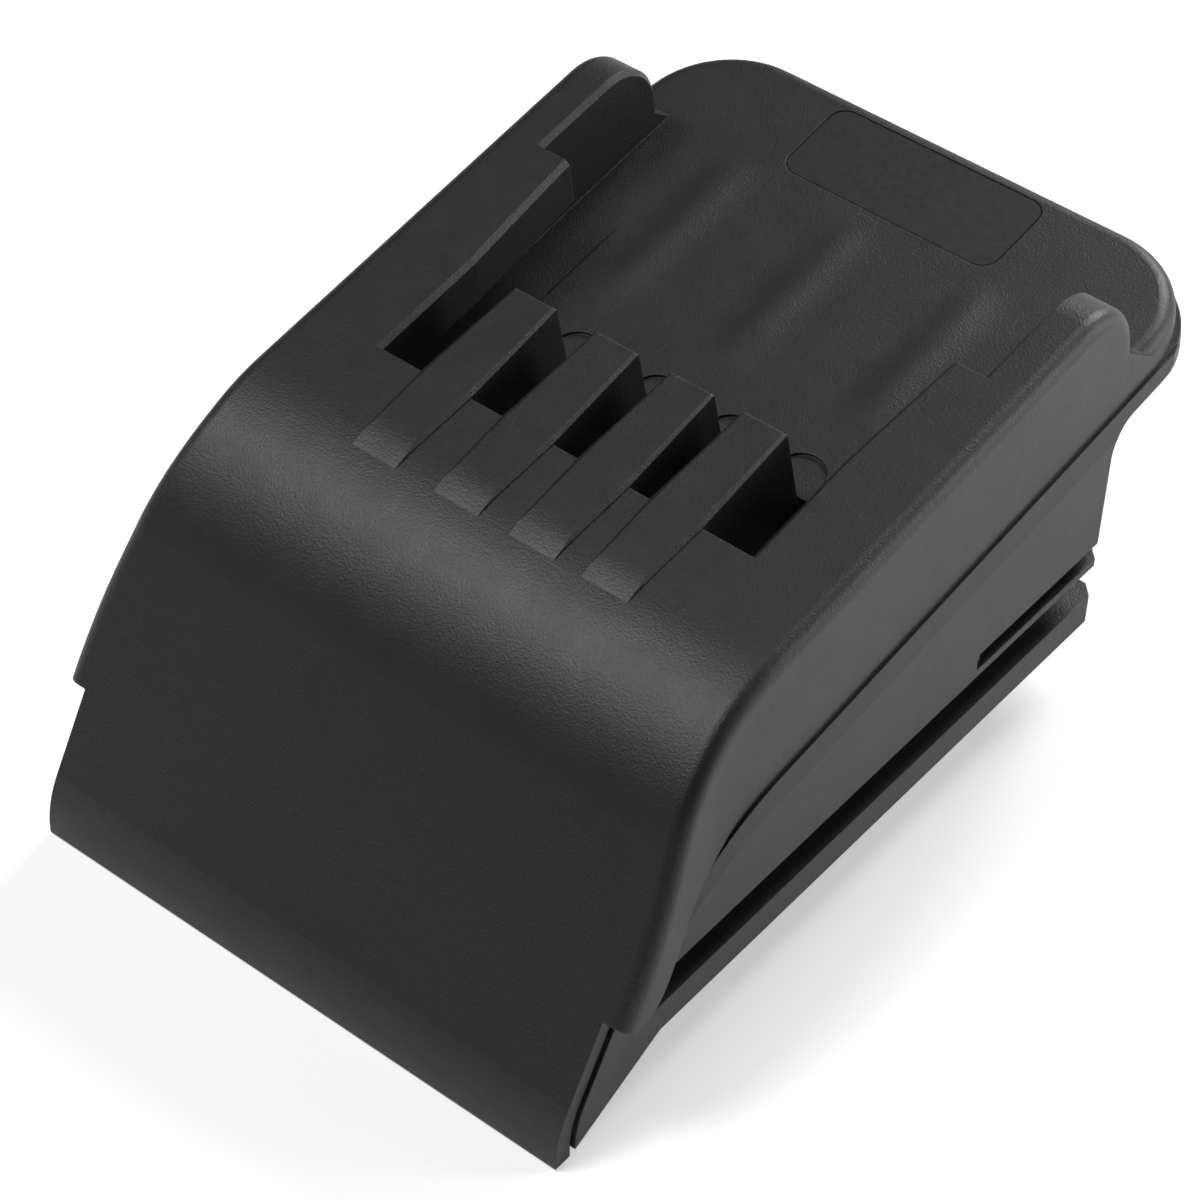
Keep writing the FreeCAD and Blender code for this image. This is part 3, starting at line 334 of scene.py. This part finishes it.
# %% Make the tinned bronze
# Real rolling lines are about 0.02 mm apart, so they are drawn four times as coarse
ROLL_LINE_MM = 0.08
ROLL_STRETCH = 0.06
ROLL_HEIGHT_MM = 0.004
WEAR_MM = 2.5
tinned = new_material("punched_bronze_tin_plated")
tree = tinned.node_tree
place = add_node(tree, "ShaderNodeTexCoord").outputs["Object"]
strip = add_node(tree, "ShaderNodeMapping", {"Vector": place, "Scale": (1.0, ROLL_STRETCH, 1.0)})
lines = add_node(tree, "ShaderNodeTexNoise", {
    "Vector": strip.outputs["Vector"], "Scale": per_mm(ROLL_LINE_MM), "Detail": 2.0})
wear = add_node(tree, "ShaderNodeTexNoise", {
    "Vector": place, "Scale": per_mm(WEAR_MM), "Detail": 3.0})
colour = add_node(tree, "ShaderNodeMix", {
    "Factor": wear.outputs["Fac"], 6: linear("#b9b4a6"), 7: linear("#d8d5cd")},
    data_type="RGBA")
gloss = add_node(tree, "ShaderNodeMapRange", {
    "Value": wear.outputs["Fac"], "To Min": 0.22, "To Max": 0.42})
bump = add_node(tree, "ShaderNodeBump", {
    "Height": lines.outputs["Fac"], "Distance": ROLL_HEIGHT_MM * MM, "Strength": 1.0})
surface = add_node(tree, "ShaderNodeBsdfPrincipled", {
    "Base Color": colour.outputs[2], "Metallic": 1.0, "Roughness": gloss.outputs["Result"],
    "Normal": bump.outputs["Normal"]})
add_node(tree, "ShaderNodeOutputMaterial", {"Surface": surface.outputs["BSDF"]})
dress([name for name in sorted(nodes) if "_contact_" in name], tinned)

# %% [markdown]
# ## Circuit board: glass-fibre laminate under green lacquer
#
# The board is woven glass cloth in epoxy. The weave prints through the green solder mask as a
# fine check of raised threads. Two Wave textures at right angles make the check.

# %% Make the laminate
WEAVE_MM = 0.5
WEAVE_HEIGHT_MM = 0.015
LACQUER_CLOUD_MM = 3.0
# A Wave texture runs through one wave in 2 * pi / 20 of its own length
WEAVE_SCALE = per_mm(WEAVE_MM) * 2 * math.pi / 20
laminate = new_material("glass_epoxy_laminate_solder_mask")
tree = laminate.node_tree
place = add_node(tree, "ShaderNodeTexCoord").outputs["Object"]
warp = add_node(tree, "ShaderNodeTexWave", {
    "Vector": place, "Scale": WEAVE_SCALE, "Distortion": 0.6}, bands_direction="X")
weft = add_node(tree, "ShaderNodeTexWave", {
    "Vector": place, "Scale": WEAVE_SCALE, "Distortion": 0.6}, bands_direction="Y")
weave = add_node(tree, "ShaderNodeMath", {
    0: warp.outputs["Fac"], 1: weft.outputs["Fac"]}, operation="MULTIPLY")
mask_noise = add_node(tree, "ShaderNodeTexNoise", {
    "Vector": place, "Scale": per_mm(LACQUER_CLOUD_MM), "Detail": 3.0})
colour = add_node(tree, "ShaderNodeMix", {
    "Factor": mask_noise.outputs["Fac"], 6: linear("#17512e"), 7: linear("#246b3d")},
    data_type="RGBA")
bump = add_node(tree, "ShaderNodeBump", {
    "Height": weave.outputs[0], "Distance": WEAVE_HEIGHT_MM * MM, "Strength": 1.0})
surface = add_node(tree, "ShaderNodeBsdfPrincipled", {
    "Base Color": colour.outputs[2], "Roughness": 0.3, "IOR": 1.55,
    "Normal": bump.outputs["Normal"]})
add_node(tree, "ShaderNodeOutputMaterial", {"Surface": surface.outputs["BSDF"]})
dress(["circuit_board"], laminate)

# %% [markdown]
# ## The parts on the board
#
# A fuse in a ceramic block, a resistor dipped in beige epoxy with colour rings, a black epoxy
# diode with a pale ring at its cathode, and a capacitor can in a blue shrink sleeve. The rings
# go round the body, so each is a step on one axis: X for the two axial parts.


# %% Make a body with rings along X
BODY_GRAIN_HEIGHT_MM = 0.01


def ringed_body(name, base, fleck, rings, grain_mm, roughness, ior):
    """Moulded body; rings is a list of (centre in mm, half width in mm, hex colour)."""
    material = new_material(name)
    tree = material.node_tree
    place = add_node(tree, "ShaderNodeTexCoord").outputs["Object"]
    axes = add_node(tree, "ShaderNodeSeparateXYZ", {"Vector": place})
    grain = add_node(tree, "ShaderNodeTexNoise", {
        "Vector": place, "Scale": per_mm(grain_mm), "Detail": 3.0})
    colour = add_node(tree, "ShaderNodeMix", {
        "Factor": grain.outputs["Fac"], 6: linear(base), 7: linear(fleck)}, data_type="RGBA")
    for centre, half_width, ring_colour in rings:
        on_ring = add_node(tree, "ShaderNodeMath", {
            0: axes.outputs["X"], 1: centre * MM, 2: half_width * MM}, operation="COMPARE")
        colour = add_node(tree, "ShaderNodeMix", {
            "Factor": on_ring.outputs[0], 6: colour.outputs[2], 7: linear(ring_colour)},
            data_type="RGBA")
    bump = add_node(tree, "ShaderNodeBump", {
        "Height": grain.outputs["Fac"], "Distance": BODY_GRAIN_HEIGHT_MM * MM, "Strength": 1.0})
    surface = add_node(tree, "ShaderNodeBsdfPrincipled", {
        "Base Color": colour.outputs[2], "Roughness": roughness, "IOR": ior,
        "Normal": bump.outputs["Normal"]})
    add_node(tree, "ShaderNodeOutputMaterial", {"Surface": surface.outputs["BSDF"]})
    return material


RING_HALF_MM = 0.28
resistor_middle = sum(corner[0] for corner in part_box("id_resistor")) / 2 / MM
diode_middle = sum(corner[0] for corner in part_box("blocking_diode")) / 2 / MM
resistor_rings = [(resistor_middle + shift, RING_HALF_MM, ring_colour)
                  for shift, ring_colour in ((-1.9, "#6b3d1e"), (-0.8, "#1b1b1b"),
                                             (0.3, "#c8641e"), (1.9, "#b08d3c"))]
dress(["id_resistor"], ringed_body("dipped_epoxy_resistor", "#c9b48a", "#d8c59e",
                                   resistor_rings, 0.5, 0.32, 1.55))
dress(["blocking_diode"], ringed_body("moulded_epoxy_diode", "#1c1c1d", "#262627",
                                      [(diode_middle + 2.4, 0.5, "#b9b9b6")], 0.3, 0.5, 1.55))
dress(["board_fuse"], ringed_body("fired_ceramic_fuse", "#d9d4c8", "#e6e2d8", [], 0.4, 0.38, 1.6))
dress(["filter_capacitor"], ringed_body("shrink_sleeved_aluminium_can", "#1a2740", "#22314e",
                                        [], 0.8, 0.28, 1.5))

# %% [markdown]
# ## Screws: a shape that follows a rule
#
# The screws are plain pins in the solids. The real ones are pan heads with a cross recess and a
# coarse thread for plastic. All of them are one shape in two sizes, so one Geometry Nodes tree
# builds a screw from its sizes and sets a copy on every point of a small mesh of seats.
#
# The thread is a triangle swept along a Spiral curve. The recess is cut by a Mesh Boolean from
# two crossed boxes. The tree ends in Realize Instances, because copies that are only instances
# get lost on export, and in Set Material.

# %% Zinc-plated steel for the screws
# The crystals of plated zinc are far too fine to see, so they are drawn at this size
SPANGLE_MM = 0.35
SPANGLE_HEIGHT_MM = 0.006
HAZE_MM = 1.2
steel = new_material("cold_headed_steel_zinc_plated")
tree = steel.node_tree
place = add_node(tree, "ShaderNodeTexCoord").outputs["Object"]
spangle = add_node(tree, "ShaderNodeTexVoronoi", {"Vector": place, "Scale": per_mm(SPANGLE_MM)})
haze = add_node(tree, "ShaderNodeTexNoise", {
    "Vector": place, "Scale": per_mm(HAZE_MM), "Detail": 3.0})
colour = add_node(tree, "ShaderNodeMix", {
    "Factor": haze.outputs["Fac"], 6: linear("#9fa2a4"), 7: linear("#c3c5c6")},
    data_type="RGBA")
gloss = add_node(tree, "ShaderNodeMapRange", {
    "Value": haze.outputs["Fac"], "To Min": 0.26, "To Max": 0.44})
bump = add_node(tree, "ShaderNodeBump", {
    "Height": spangle.outputs["Distance"], "Distance": SPANGLE_HEIGHT_MM * MM,
    "Strength": 1.0})
surface = add_node(tree, "ShaderNodeBsdfPrincipled", {
    "Base Color": colour.outputs[2], "Metallic": 1.0, "Roughness": gloss.outputs["Result"],
    "Normal": bump.outputs["Normal"]})
add_node(tree, "ShaderNodeOutputMaterial", {"Surface": surface.outputs["BSDF"]})
print(steel.name, "spangle", SPANGLE_MM, "mm")

# %% Node tree that builds a screw and sets it on every seat
SCREW_INPUTS = ("Head Radius", "Head Height", "Core Radius", "Thread Radius", "Length", "Pitch",
                "Tilt")
# Shares of the screw's own sizes
DRUM_SHARE, CROWN_SHARE = 0.55, 0.45
CROWN_TAPER = 0.72
RECESS_ARM, RECESS_WIDTH, RECESS_DEPTH = 1.15, 0.24, 1.2
CORE_SHARE, TIP_TAPER = 0.9, 0.55


def screw_tree(material):
    """Geometry Nodes tree: input mesh of seats, output one mesh with a screw on each."""
    tree = bpy.data.node_groups.new("pan_head_screw", "GeometryNodeTree")
    tree.interface.new_socket(name="Seats", in_out="INPUT", socket_type="NodeSocketGeometry")
    for name in SCREW_INPUTS:
        tree.interface.new_socket(name=name, in_out="INPUT", socket_type="NodeSocketFloat")
    tree.interface.new_socket(name="Screws", in_out="OUTPUT", socket_type="NodeSocketGeometry")
    given = add_node(tree, "NodeGroupInput").outputs

    # Head: a short drum under the seat and a flat cone below it
    drum_height = add_node(tree, "ShaderNodeMath", {
        0: given["Head Height"], 1: DRUM_SHARE}, operation="MULTIPLY").outputs[0]
    crown_height = add_node(tree, "ShaderNodeMath", {
        0: given["Head Height"], 1: CROWN_SHARE}, operation="MULTIPLY").outputs[0]
    drum_drop = add_node(tree, "ShaderNodeMath", {
        0: drum_height, 1: -0.5}, operation="MULTIPLY").outputs[0]
    drum = add_node(tree, "GeometryNodeMeshCylinder", {
        "Vertices": 32, "Radius": given["Head Radius"], "Depth": drum_height})
    drum_place = add_node(tree, "ShaderNodeCombineXYZ", {"Z": drum_drop})
    drum_set = add_node(tree, "GeometryNodeTransform", {
        "Geometry": drum.outputs["Mesh"], "Translation": drum_place.outputs[0]})
    crown_radius = add_node(tree, "ShaderNodeMath", {
        0: given["Head Radius"], 1: CROWN_TAPER}, operation="MULTIPLY").outputs[0]
    crown = add_node(tree, "GeometryNodeMeshCone", {
        "Vertices": 32, "Radius Top": given["Head Radius"], "Radius Bottom": crown_radius,
        "Depth": crown_height})
    crown_drop = add_node(tree, "ShaderNodeMath", {
        0: given["Head Height"], 1: -1.0}, operation="MULTIPLY").outputs[0]
    crown_place = add_node(tree, "ShaderNodeCombineXYZ", {"Z": crown_drop})
    crown_set = add_node(tree, "GeometryNodeTransform", {
        "Geometry": crown.outputs["Mesh"], "Translation": crown_place.outputs[0]})
    whole_head = add_node(tree, "GeometryNodeMeshBoolean", operation="UNION")
    tree.links.new(drum_set.outputs[0], whole_head.inputs["Mesh 2"])
    tree.links.new(crown_set.outputs[0], whole_head.inputs["Mesh 2"])

    # Cross recess, cut from the outer face of the head
    arm = add_node(tree, "ShaderNodeMath", {
        0: given["Head Radius"], 1: RECESS_ARM}, operation="MULTIPLY").outputs[0]
    width = add_node(tree, "ShaderNodeMath", {
        0: given["Head Radius"], 1: RECESS_WIDTH}, operation="MULTIPLY").outputs[0]
    depth = add_node(tree, "ShaderNodeMath", {
        0: given["Head Height"], 1: RECESS_DEPTH}, operation="MULTIPLY").outputs[0]
    recess = []
    for first, second in ((arm, width), (width, arm)):
        size = add_node(tree, "ShaderNodeCombineXYZ", {"X": first, "Y": second, "Z": depth})
        bar = add_node(tree, "GeometryNodeMeshCube", {"Size": size.outputs[0]})
        recess.append(add_node(tree, "GeometryNodeTransform", {
            "Geometry": bar.outputs["Mesh"], "Translation": crown_place.outputs[0]}))
    head = add_node(tree, "GeometryNodeMeshBoolean", {"Mesh 1": whole_head.outputs["Mesh"]},
                    operation="DIFFERENCE")
    for bar in recess:
        tree.links.new(bar.outputs[0], head.inputs["Mesh 2"])

    # Core with a blunt tip
    core_length = add_node(tree, "ShaderNodeMath", {
        0: given["Length"], 1: CORE_SHARE}, operation="MULTIPLY").outputs[0]
    core_middle = add_node(tree, "ShaderNodeMath", {
        0: core_length, 1: 0.5}, operation="MULTIPLY").outputs[0]
    core = add_node(tree, "GeometryNodeMeshCylinder", {
        "Vertices": 24, "Radius": given["Core Radius"], "Depth": core_length})
    core_place = add_node(tree, "ShaderNodeCombineXYZ", {"Z": core_middle})
    core_set = add_node(tree, "GeometryNodeTransform", {
        "Geometry": core.outputs["Mesh"], "Translation": core_place.outputs[0]})
    tip_length = add_node(tree, "ShaderNodeMath", {
        0: given["Length"], 1: core_length}, operation="SUBTRACT").outputs[0]
    tip_radius = add_node(tree, "ShaderNodeMath", {
        0: given["Core Radius"], 1: TIP_TAPER}, operation="MULTIPLY").outputs[0]
    tip = add_node(tree, "GeometryNodeMeshCone", {
        "Vertices": 24, "Radius Top": tip_radius, "Radius Bottom": given["Core Radius"],
        "Depth": tip_length})
    tip_place = add_node(tree, "ShaderNodeCombineXYZ", {"Z": core_length})
    tip_set = add_node(tree, "GeometryNodeTransform", {
        "Geometry": tip.outputs["Mesh"], "Translation": tip_place.outputs[0]})

    # Thread: a triangle swept along a spiral
    turns = add_node(tree, "ShaderNodeMath", {
        0: core_length, 1: given["Pitch"]}, operation="DIVIDE").outputs[0]
    tooth = add_node(tree, "ShaderNodeMath", {
        0: given["Thread Radius"], 1: given["Core Radius"]}, operation="SUBTRACT").outputs[0]
    spiral = add_node(tree, "GeometryNodeCurveSpiral", {
        "Resolution": 20, "Rotations": turns, "Start Radius": given["Core Radius"],
        "End Radius": given["Core Radius"], "Height": core_length})
    triangle = add_node(tree, "GeometryNodeCurvePrimitiveCircle", {
        "Resolution": 3, "Radius": tooth})
    thread = add_node(tree, "GeometryNodeCurveToMesh", {
        "Curve": spiral.outputs["Curve"], "Profile Curve": triangle.outputs["Curve"],
        "Fill Caps": True})

    # One screw, set on every seat and made real
    screw = add_node(tree, "GeometryNodeJoinGeometry")
    for part in (head, core_set, tip_set, thread):
        tree.links.new(part.outputs[0], screw.inputs[0])
    turn = add_node(tree, "ShaderNodeCombineXYZ", {"X": given["Tilt"]})
    placed = add_node(tree, "GeometryNodeInstanceOnPoints", {
        "Points": given["Seats"], "Instance": screw.outputs[0], "Rotation": turn.outputs[0]})
    real = add_node(tree, "GeometryNodeRealizeInstances", {"Geometry": placed.outputs[0]})
    finished = add_node(tree, "GeometryNodeSetMaterial", {
        "Geometry": real.outputs[0], "Material": material})
    add_node(tree, "NodeGroupOutput", {"Screws": finished.outputs[0]})
    return tree


pan_head = screw_tree(steel)
print("nodes in the screw tree:", len(pan_head.nodes))

# %% [markdown]
# The seats aren't typed in. They are measured from the plain pins: the vertices of a pin group
# are turned upright, split into one cluster for each screw, and each cluster gives its axis
# and the height of its seat.


# %% Measure the seats of a group of plain screws
# Screws whose places differ by less than this along Y stand in one row
ROW_GAP_MM = 10.0


def measure_seats(name, tilt, head_height):
    """Seat points of the screws of a node and their length below the head, in metres."""
    upright = Matrix.Rotation(-tilt, 4, "X")
    clusters = {}
    points = [upright @ vertex.co for vertex in nodes[name].data.vertices]
    middle_y = (min(p.y for p in points) + max(p.y for p in points)) / 2
    spread_y = max(p.y for p in points) - min(p.y for p in points)
    for point in points:
        row = spread_y > ROW_GAP_MM * MM and point.y > middle_y
        clusters.setdefault((point.x > 0, row), []).append(point)
    seats = []
    for cluster in clusters.values():
        low = Vector([min(p[axis] for p in cluster) for axis in range(3)])
        high = Vector([max(p[axis] for p in cluster) for axis in range(3)])
        seat = Vector(((low.x + high.x) / 2, (low.y + high.y) / 2, low.z + head_height))
        seats.append(upright.inverted() @ seat)
        length = high.z - seat.z
    print(name, len(seats), "seats, shank", round(length / MM, 2), "mm")
    return seats, length


# %% Build the two groups of screws
def build_screws(name, node, tilt, sizes):
    """Plain mesh of detailed screws that stands for a node of plain pins."""
    seats, length = measure_seats(node, tilt, sizes["Head Height"])
    mesh = bpy.data.meshes.new(name + "_seats")
    mesh.from_pydata([tuple(seat) for seat in seats], [], [])
    piece = bpy.data.objects.new(name, mesh)
    bpy.context.scene.collection.objects.link(piece)
    modifier = piece.modifiers.new("screws", "NODES")
    modifier.node_group = pan_head
    values = dict(sizes, Length=length, Tilt=tilt)
    for item in pan_head.interface.items_tree:
        if item.in_out == "INPUT" and item.name in values:
            modifier[item.identifier] = values[item.name]
    evaluated = piece.evaluated_get(bpy.context.evaluated_depsgraph_get())
    finished = bpy.data.meshes.new_from_object(evaluated)
    piece.modifiers.clear()
    piece.data = finished
    finished.name = name
    print(name, len(finished.polygons), "faces")
    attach(piece, "root")
    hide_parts(node)


# The board is tilted as the deck is
BOARD_TILT = math.radians(8.0)
build_screws("threaded_case_screws", "case_screws", 0.0, {
    "Head Radius": 2.6 * MM, "Head Height": 1.9 * MM, "Core Radius": 1.1 * MM,
    "Thread Radius": 1.38 * MM, "Pitch": 1.1 * MM})
build_screws("threaded_board_screws", "board_screws", BOARD_TILT, {
    "Head Radius": 2.1 * MM, "Head Height": 1.5 * MM, "Core Radius": 0.85 * MM,
    "Thread Radius": 1.08 * MM, "Pitch": 0.8 * MM})

# %% [markdown]
# ## Camera
#
# The camera looks down on the front right corner. Its place and angles were fitted by laying
# known edges of the solids over the view that the picture shows. A long lens keeps the sides
# nearly parallel, and a small shift frames the object without turning the camera.

# %% Camera
CAMERA_PLACE = Vector((0.1976, -0.2343, 0.3226))
camera = bpy.data.cameras.new("camera")
camera.lens = 117.38
camera.sensor_width = 36.0
camera.shift_x = 0.0237
camera.shift_y = 0.0336
camera.clip_start = 0.01
camera.clip_end = 20.0
camera_object = bpy.data.objects.new("camera", camera)
bpy.context.scene.collection.objects.link(camera_object)
azimuth, elevation, roll = math.radians(39.94), math.radians(45.43), math.radians(-0.30)
forward = Vector((-math.sin(azimuth) * math.cos(elevation),
                  math.cos(azimuth) * math.cos(elevation), -math.sin(elevation)))
right = Vector((math.cos(azimuth), math.sin(azimuth), 0.0))
up = right.cross(forward)
right, up = (right * math.cos(roll) + up * math.sin(roll),
             up * math.cos(roll) - right * math.sin(roll))
turn = Matrix((right, up, -forward)).transposed().to_4x4()
camera_object.matrix_world = Matrix.Translation(CAMERA_PLACE) @ turn
bpy.context.scene.camera = camera_object
print("camera lens", round(camera.lens, 1), "mm, turned", round(math.degrees(azimuth), 1))

# %% [markdown]
# ## Floor
#
# A sheet of white paper. Lit at a plain level, paper comes out a little grey, so a small
# emission is added for the rays that come straight from the camera, and a smaller one for
# those that a glossy or clear surface sends out. Far from the lamps the paper gets less
# light, so there the emission rises to a full white. The paper's edges stand up, so that a
# low view sees paper behind the object and not the dark room. The object's shadow still
# falls on the paper.

# %% White paper floor
FLOOR_DROP_MM = 0.3
FLOOR_HALF = 3.0
EDGE_HEIGHT = 0.5
PAPER_GLOW_SEEN = 0.42
PAPER_GLOW_MIRRORED = 0.16
LIT_RADIUS = 0.3
DARK_RADIUS = 1.0
FIBRE_CLOUD_MM = 40.0
floor_z = solid_box[0][2] - FLOOR_DROP_MM * MM
mesh = bpy.data.meshes.new("paper_floor")
corners = [(-1, -1), (1, -1), (1, 1), (-1, 1)]
mesh.from_pydata([(x * FLOOR_HALF, y * FLOOR_HALF, floor_z + rise)
                  for rise in (0.0, EDGE_HEIGHT) for x, y in corners], [],
                 [(0, 1, 2, 3), (0, 4, 5, 1), (1, 5, 6, 2), (2, 6, 7, 3), (3, 7, 4, 0)])
floor = bpy.data.objects.new("paper_floor", mesh)
bpy.context.scene.collection.objects.link(floor)
paper = new_material("matt_white_paper")
tree = paper.node_tree
place = add_node(tree, "ShaderNodeTexCoord").outputs["Object"]
cloud = add_node(tree, "ShaderNodeTexNoise", {
    "Vector": place, "Scale": per_mm(FIBRE_CLOUD_MM), "Detail": 2.0})
colour = add_node(tree, "ShaderNodeMix", {
    "Factor": cloud.outputs["Fac"], 6: linear("#f6f6f6"), 7: linear("#fafafa")},
    data_type="RGBA")
path = add_node(tree, "ShaderNodeLightPath")
mirrored = add_node(tree, "ShaderNodeMath", {
    0: path.outputs["Is Glossy Ray"], 1: path.outputs["Is Transmission Ray"]},
    operation="MAXIMUM")
mirrored_glow = add_node(tree, "ShaderNodeMath", {
    0: mirrored.outputs[0], 1: PAPER_GLOW_MIRRORED}, operation="MULTIPLY")
far = add_node(tree, "ShaderNodeVectorMath", {0: place}, operation="LENGTH")
seen_glow = add_node(tree, "ShaderNodeMapRange", {
    "Value": far.outputs["Value"], "From Min": LIT_RADIUS, "From Max": DARK_RADIUS,
    "To Min": PAPER_GLOW_SEEN, "To Max": 1.0})
glow = add_node(tree, "ShaderNodeMath", {
    0: path.outputs["Is Camera Ray"], 1: seen_glow.outputs["Result"],
    2: mirrored_glow.outputs[0]}, operation="MULTIPLY_ADD")
matt = add_node(tree, "ShaderNodeBsdfDiffuse", {"Color": colour.outputs[2]})
light_up = add_node(tree, "ShaderNodeEmission", {
    "Color": (1.0, 1.0, 1.0, 1.0), "Strength": glow.outputs[0]})
both = add_node(tree, "ShaderNodeAddShader", {0: matt.outputs[0], 1: light_up.outputs[0]})
add_node(tree, "ShaderNodeOutputMaterial", {"Surface": both.outputs[0]})
mesh.materials.append(paper)
print("floor at", round(floor_z / MM, 2), "mm")

# %% [markdown]
# ## Light
#
# A dark object is drawn by what it reflects, not by its colour. Five soft lamps stand around
# it. The main one is behind, half way up, and is mirrored faintly in the deck. The second is
# high at the front left, mirrored only where the deck bends down into the apron, and makes
# the broad bright band there. A weak one on the left keeps the apron from going black. Two weak
# ones on the right light the side and leave the right faces of the fingers in shade. The
# higher of them is mirrored in the bevelled right edges of fingers and rails as thin lines.
#
# Their levels add up to about one on a flat surface that faces up. At that level a colour
# comes out about as it is written.

# %% Room light
ROOM_LEVEL = 0.02
world = bpy.data.worlds.new("studio_room")
bpy.context.scene.world = world
world.use_nodes = True
world.node_tree.nodes.clear()
room = add_node(world.node_tree, "ShaderNodeBackground", {
    "Color": (1.0, 1.0, 1.0, 1.0), "Strength": ROOM_LEVEL})
add_node(world.node_tree, "ShaderNodeOutputWorld", {"Surface": room.outputs[0]})
print("room level", ROOM_LEVEL)

# %% Soft lamps
DOCK_MIDDLE = Vector((0.0, 0.012, 0.028))


def softbox(name, turned, raised, distance, size, level):
    """Lamp aimed at the dock: angles in degrees, distance and size in metres.

    `level` is how bright the lamp makes a white surface that faces it. The level that it gives
    a surface that faces up is returned.
    """
    outward = Vector((math.cos(math.radians(turned)) * math.cos(math.radians(raised)),
                      math.sin(math.radians(turned)) * math.cos(math.radians(raised)),
                      math.sin(math.radians(raised))))
    lamp = bpy.data.lights.new(name, "AREA")
    lamp.shape = "RECTANGLE"
    lamp.size, lamp.size_y = size
    lamp.energy = level * (math.pi * distance) ** 2
    lamp_object = bpy.data.objects.new(name, lamp)
    bpy.context.scene.collection.objects.link(lamp_object)
    lamp_object.location = DOCK_MIDDLE + outward * distance
    lamp_object.rotation_euler = (-outward).to_track_quat("-Z", "Y").to_euler()
    return level * outward.z


# Name, turned, raised, distance, size, level
levels = [softbox("main_behind", 90.0, 35.0, 0.85, (0.35, 0.35), 0.76),
          softbox("bend_highlight", 225.0, 62.0, 0.85, (0.33, 0.33), 0.54),
          softbox("left_fill", 210.0, 35.0, 0.85, (0.35, 0.35), 0.09),
          softbox("right_low", 42.0, 9.0, 0.45, (0.22, 0.12), 0.25),
          softbox("right_edges", 40.0, 27.0, 0.85, (0.22, 0.22), 0.15)]
print("level on a surface that faces up:", round(sum(levels) + ROOM_LEVEL, 2))
bpy.context.scene.view_settings.view_transform = "Standard"
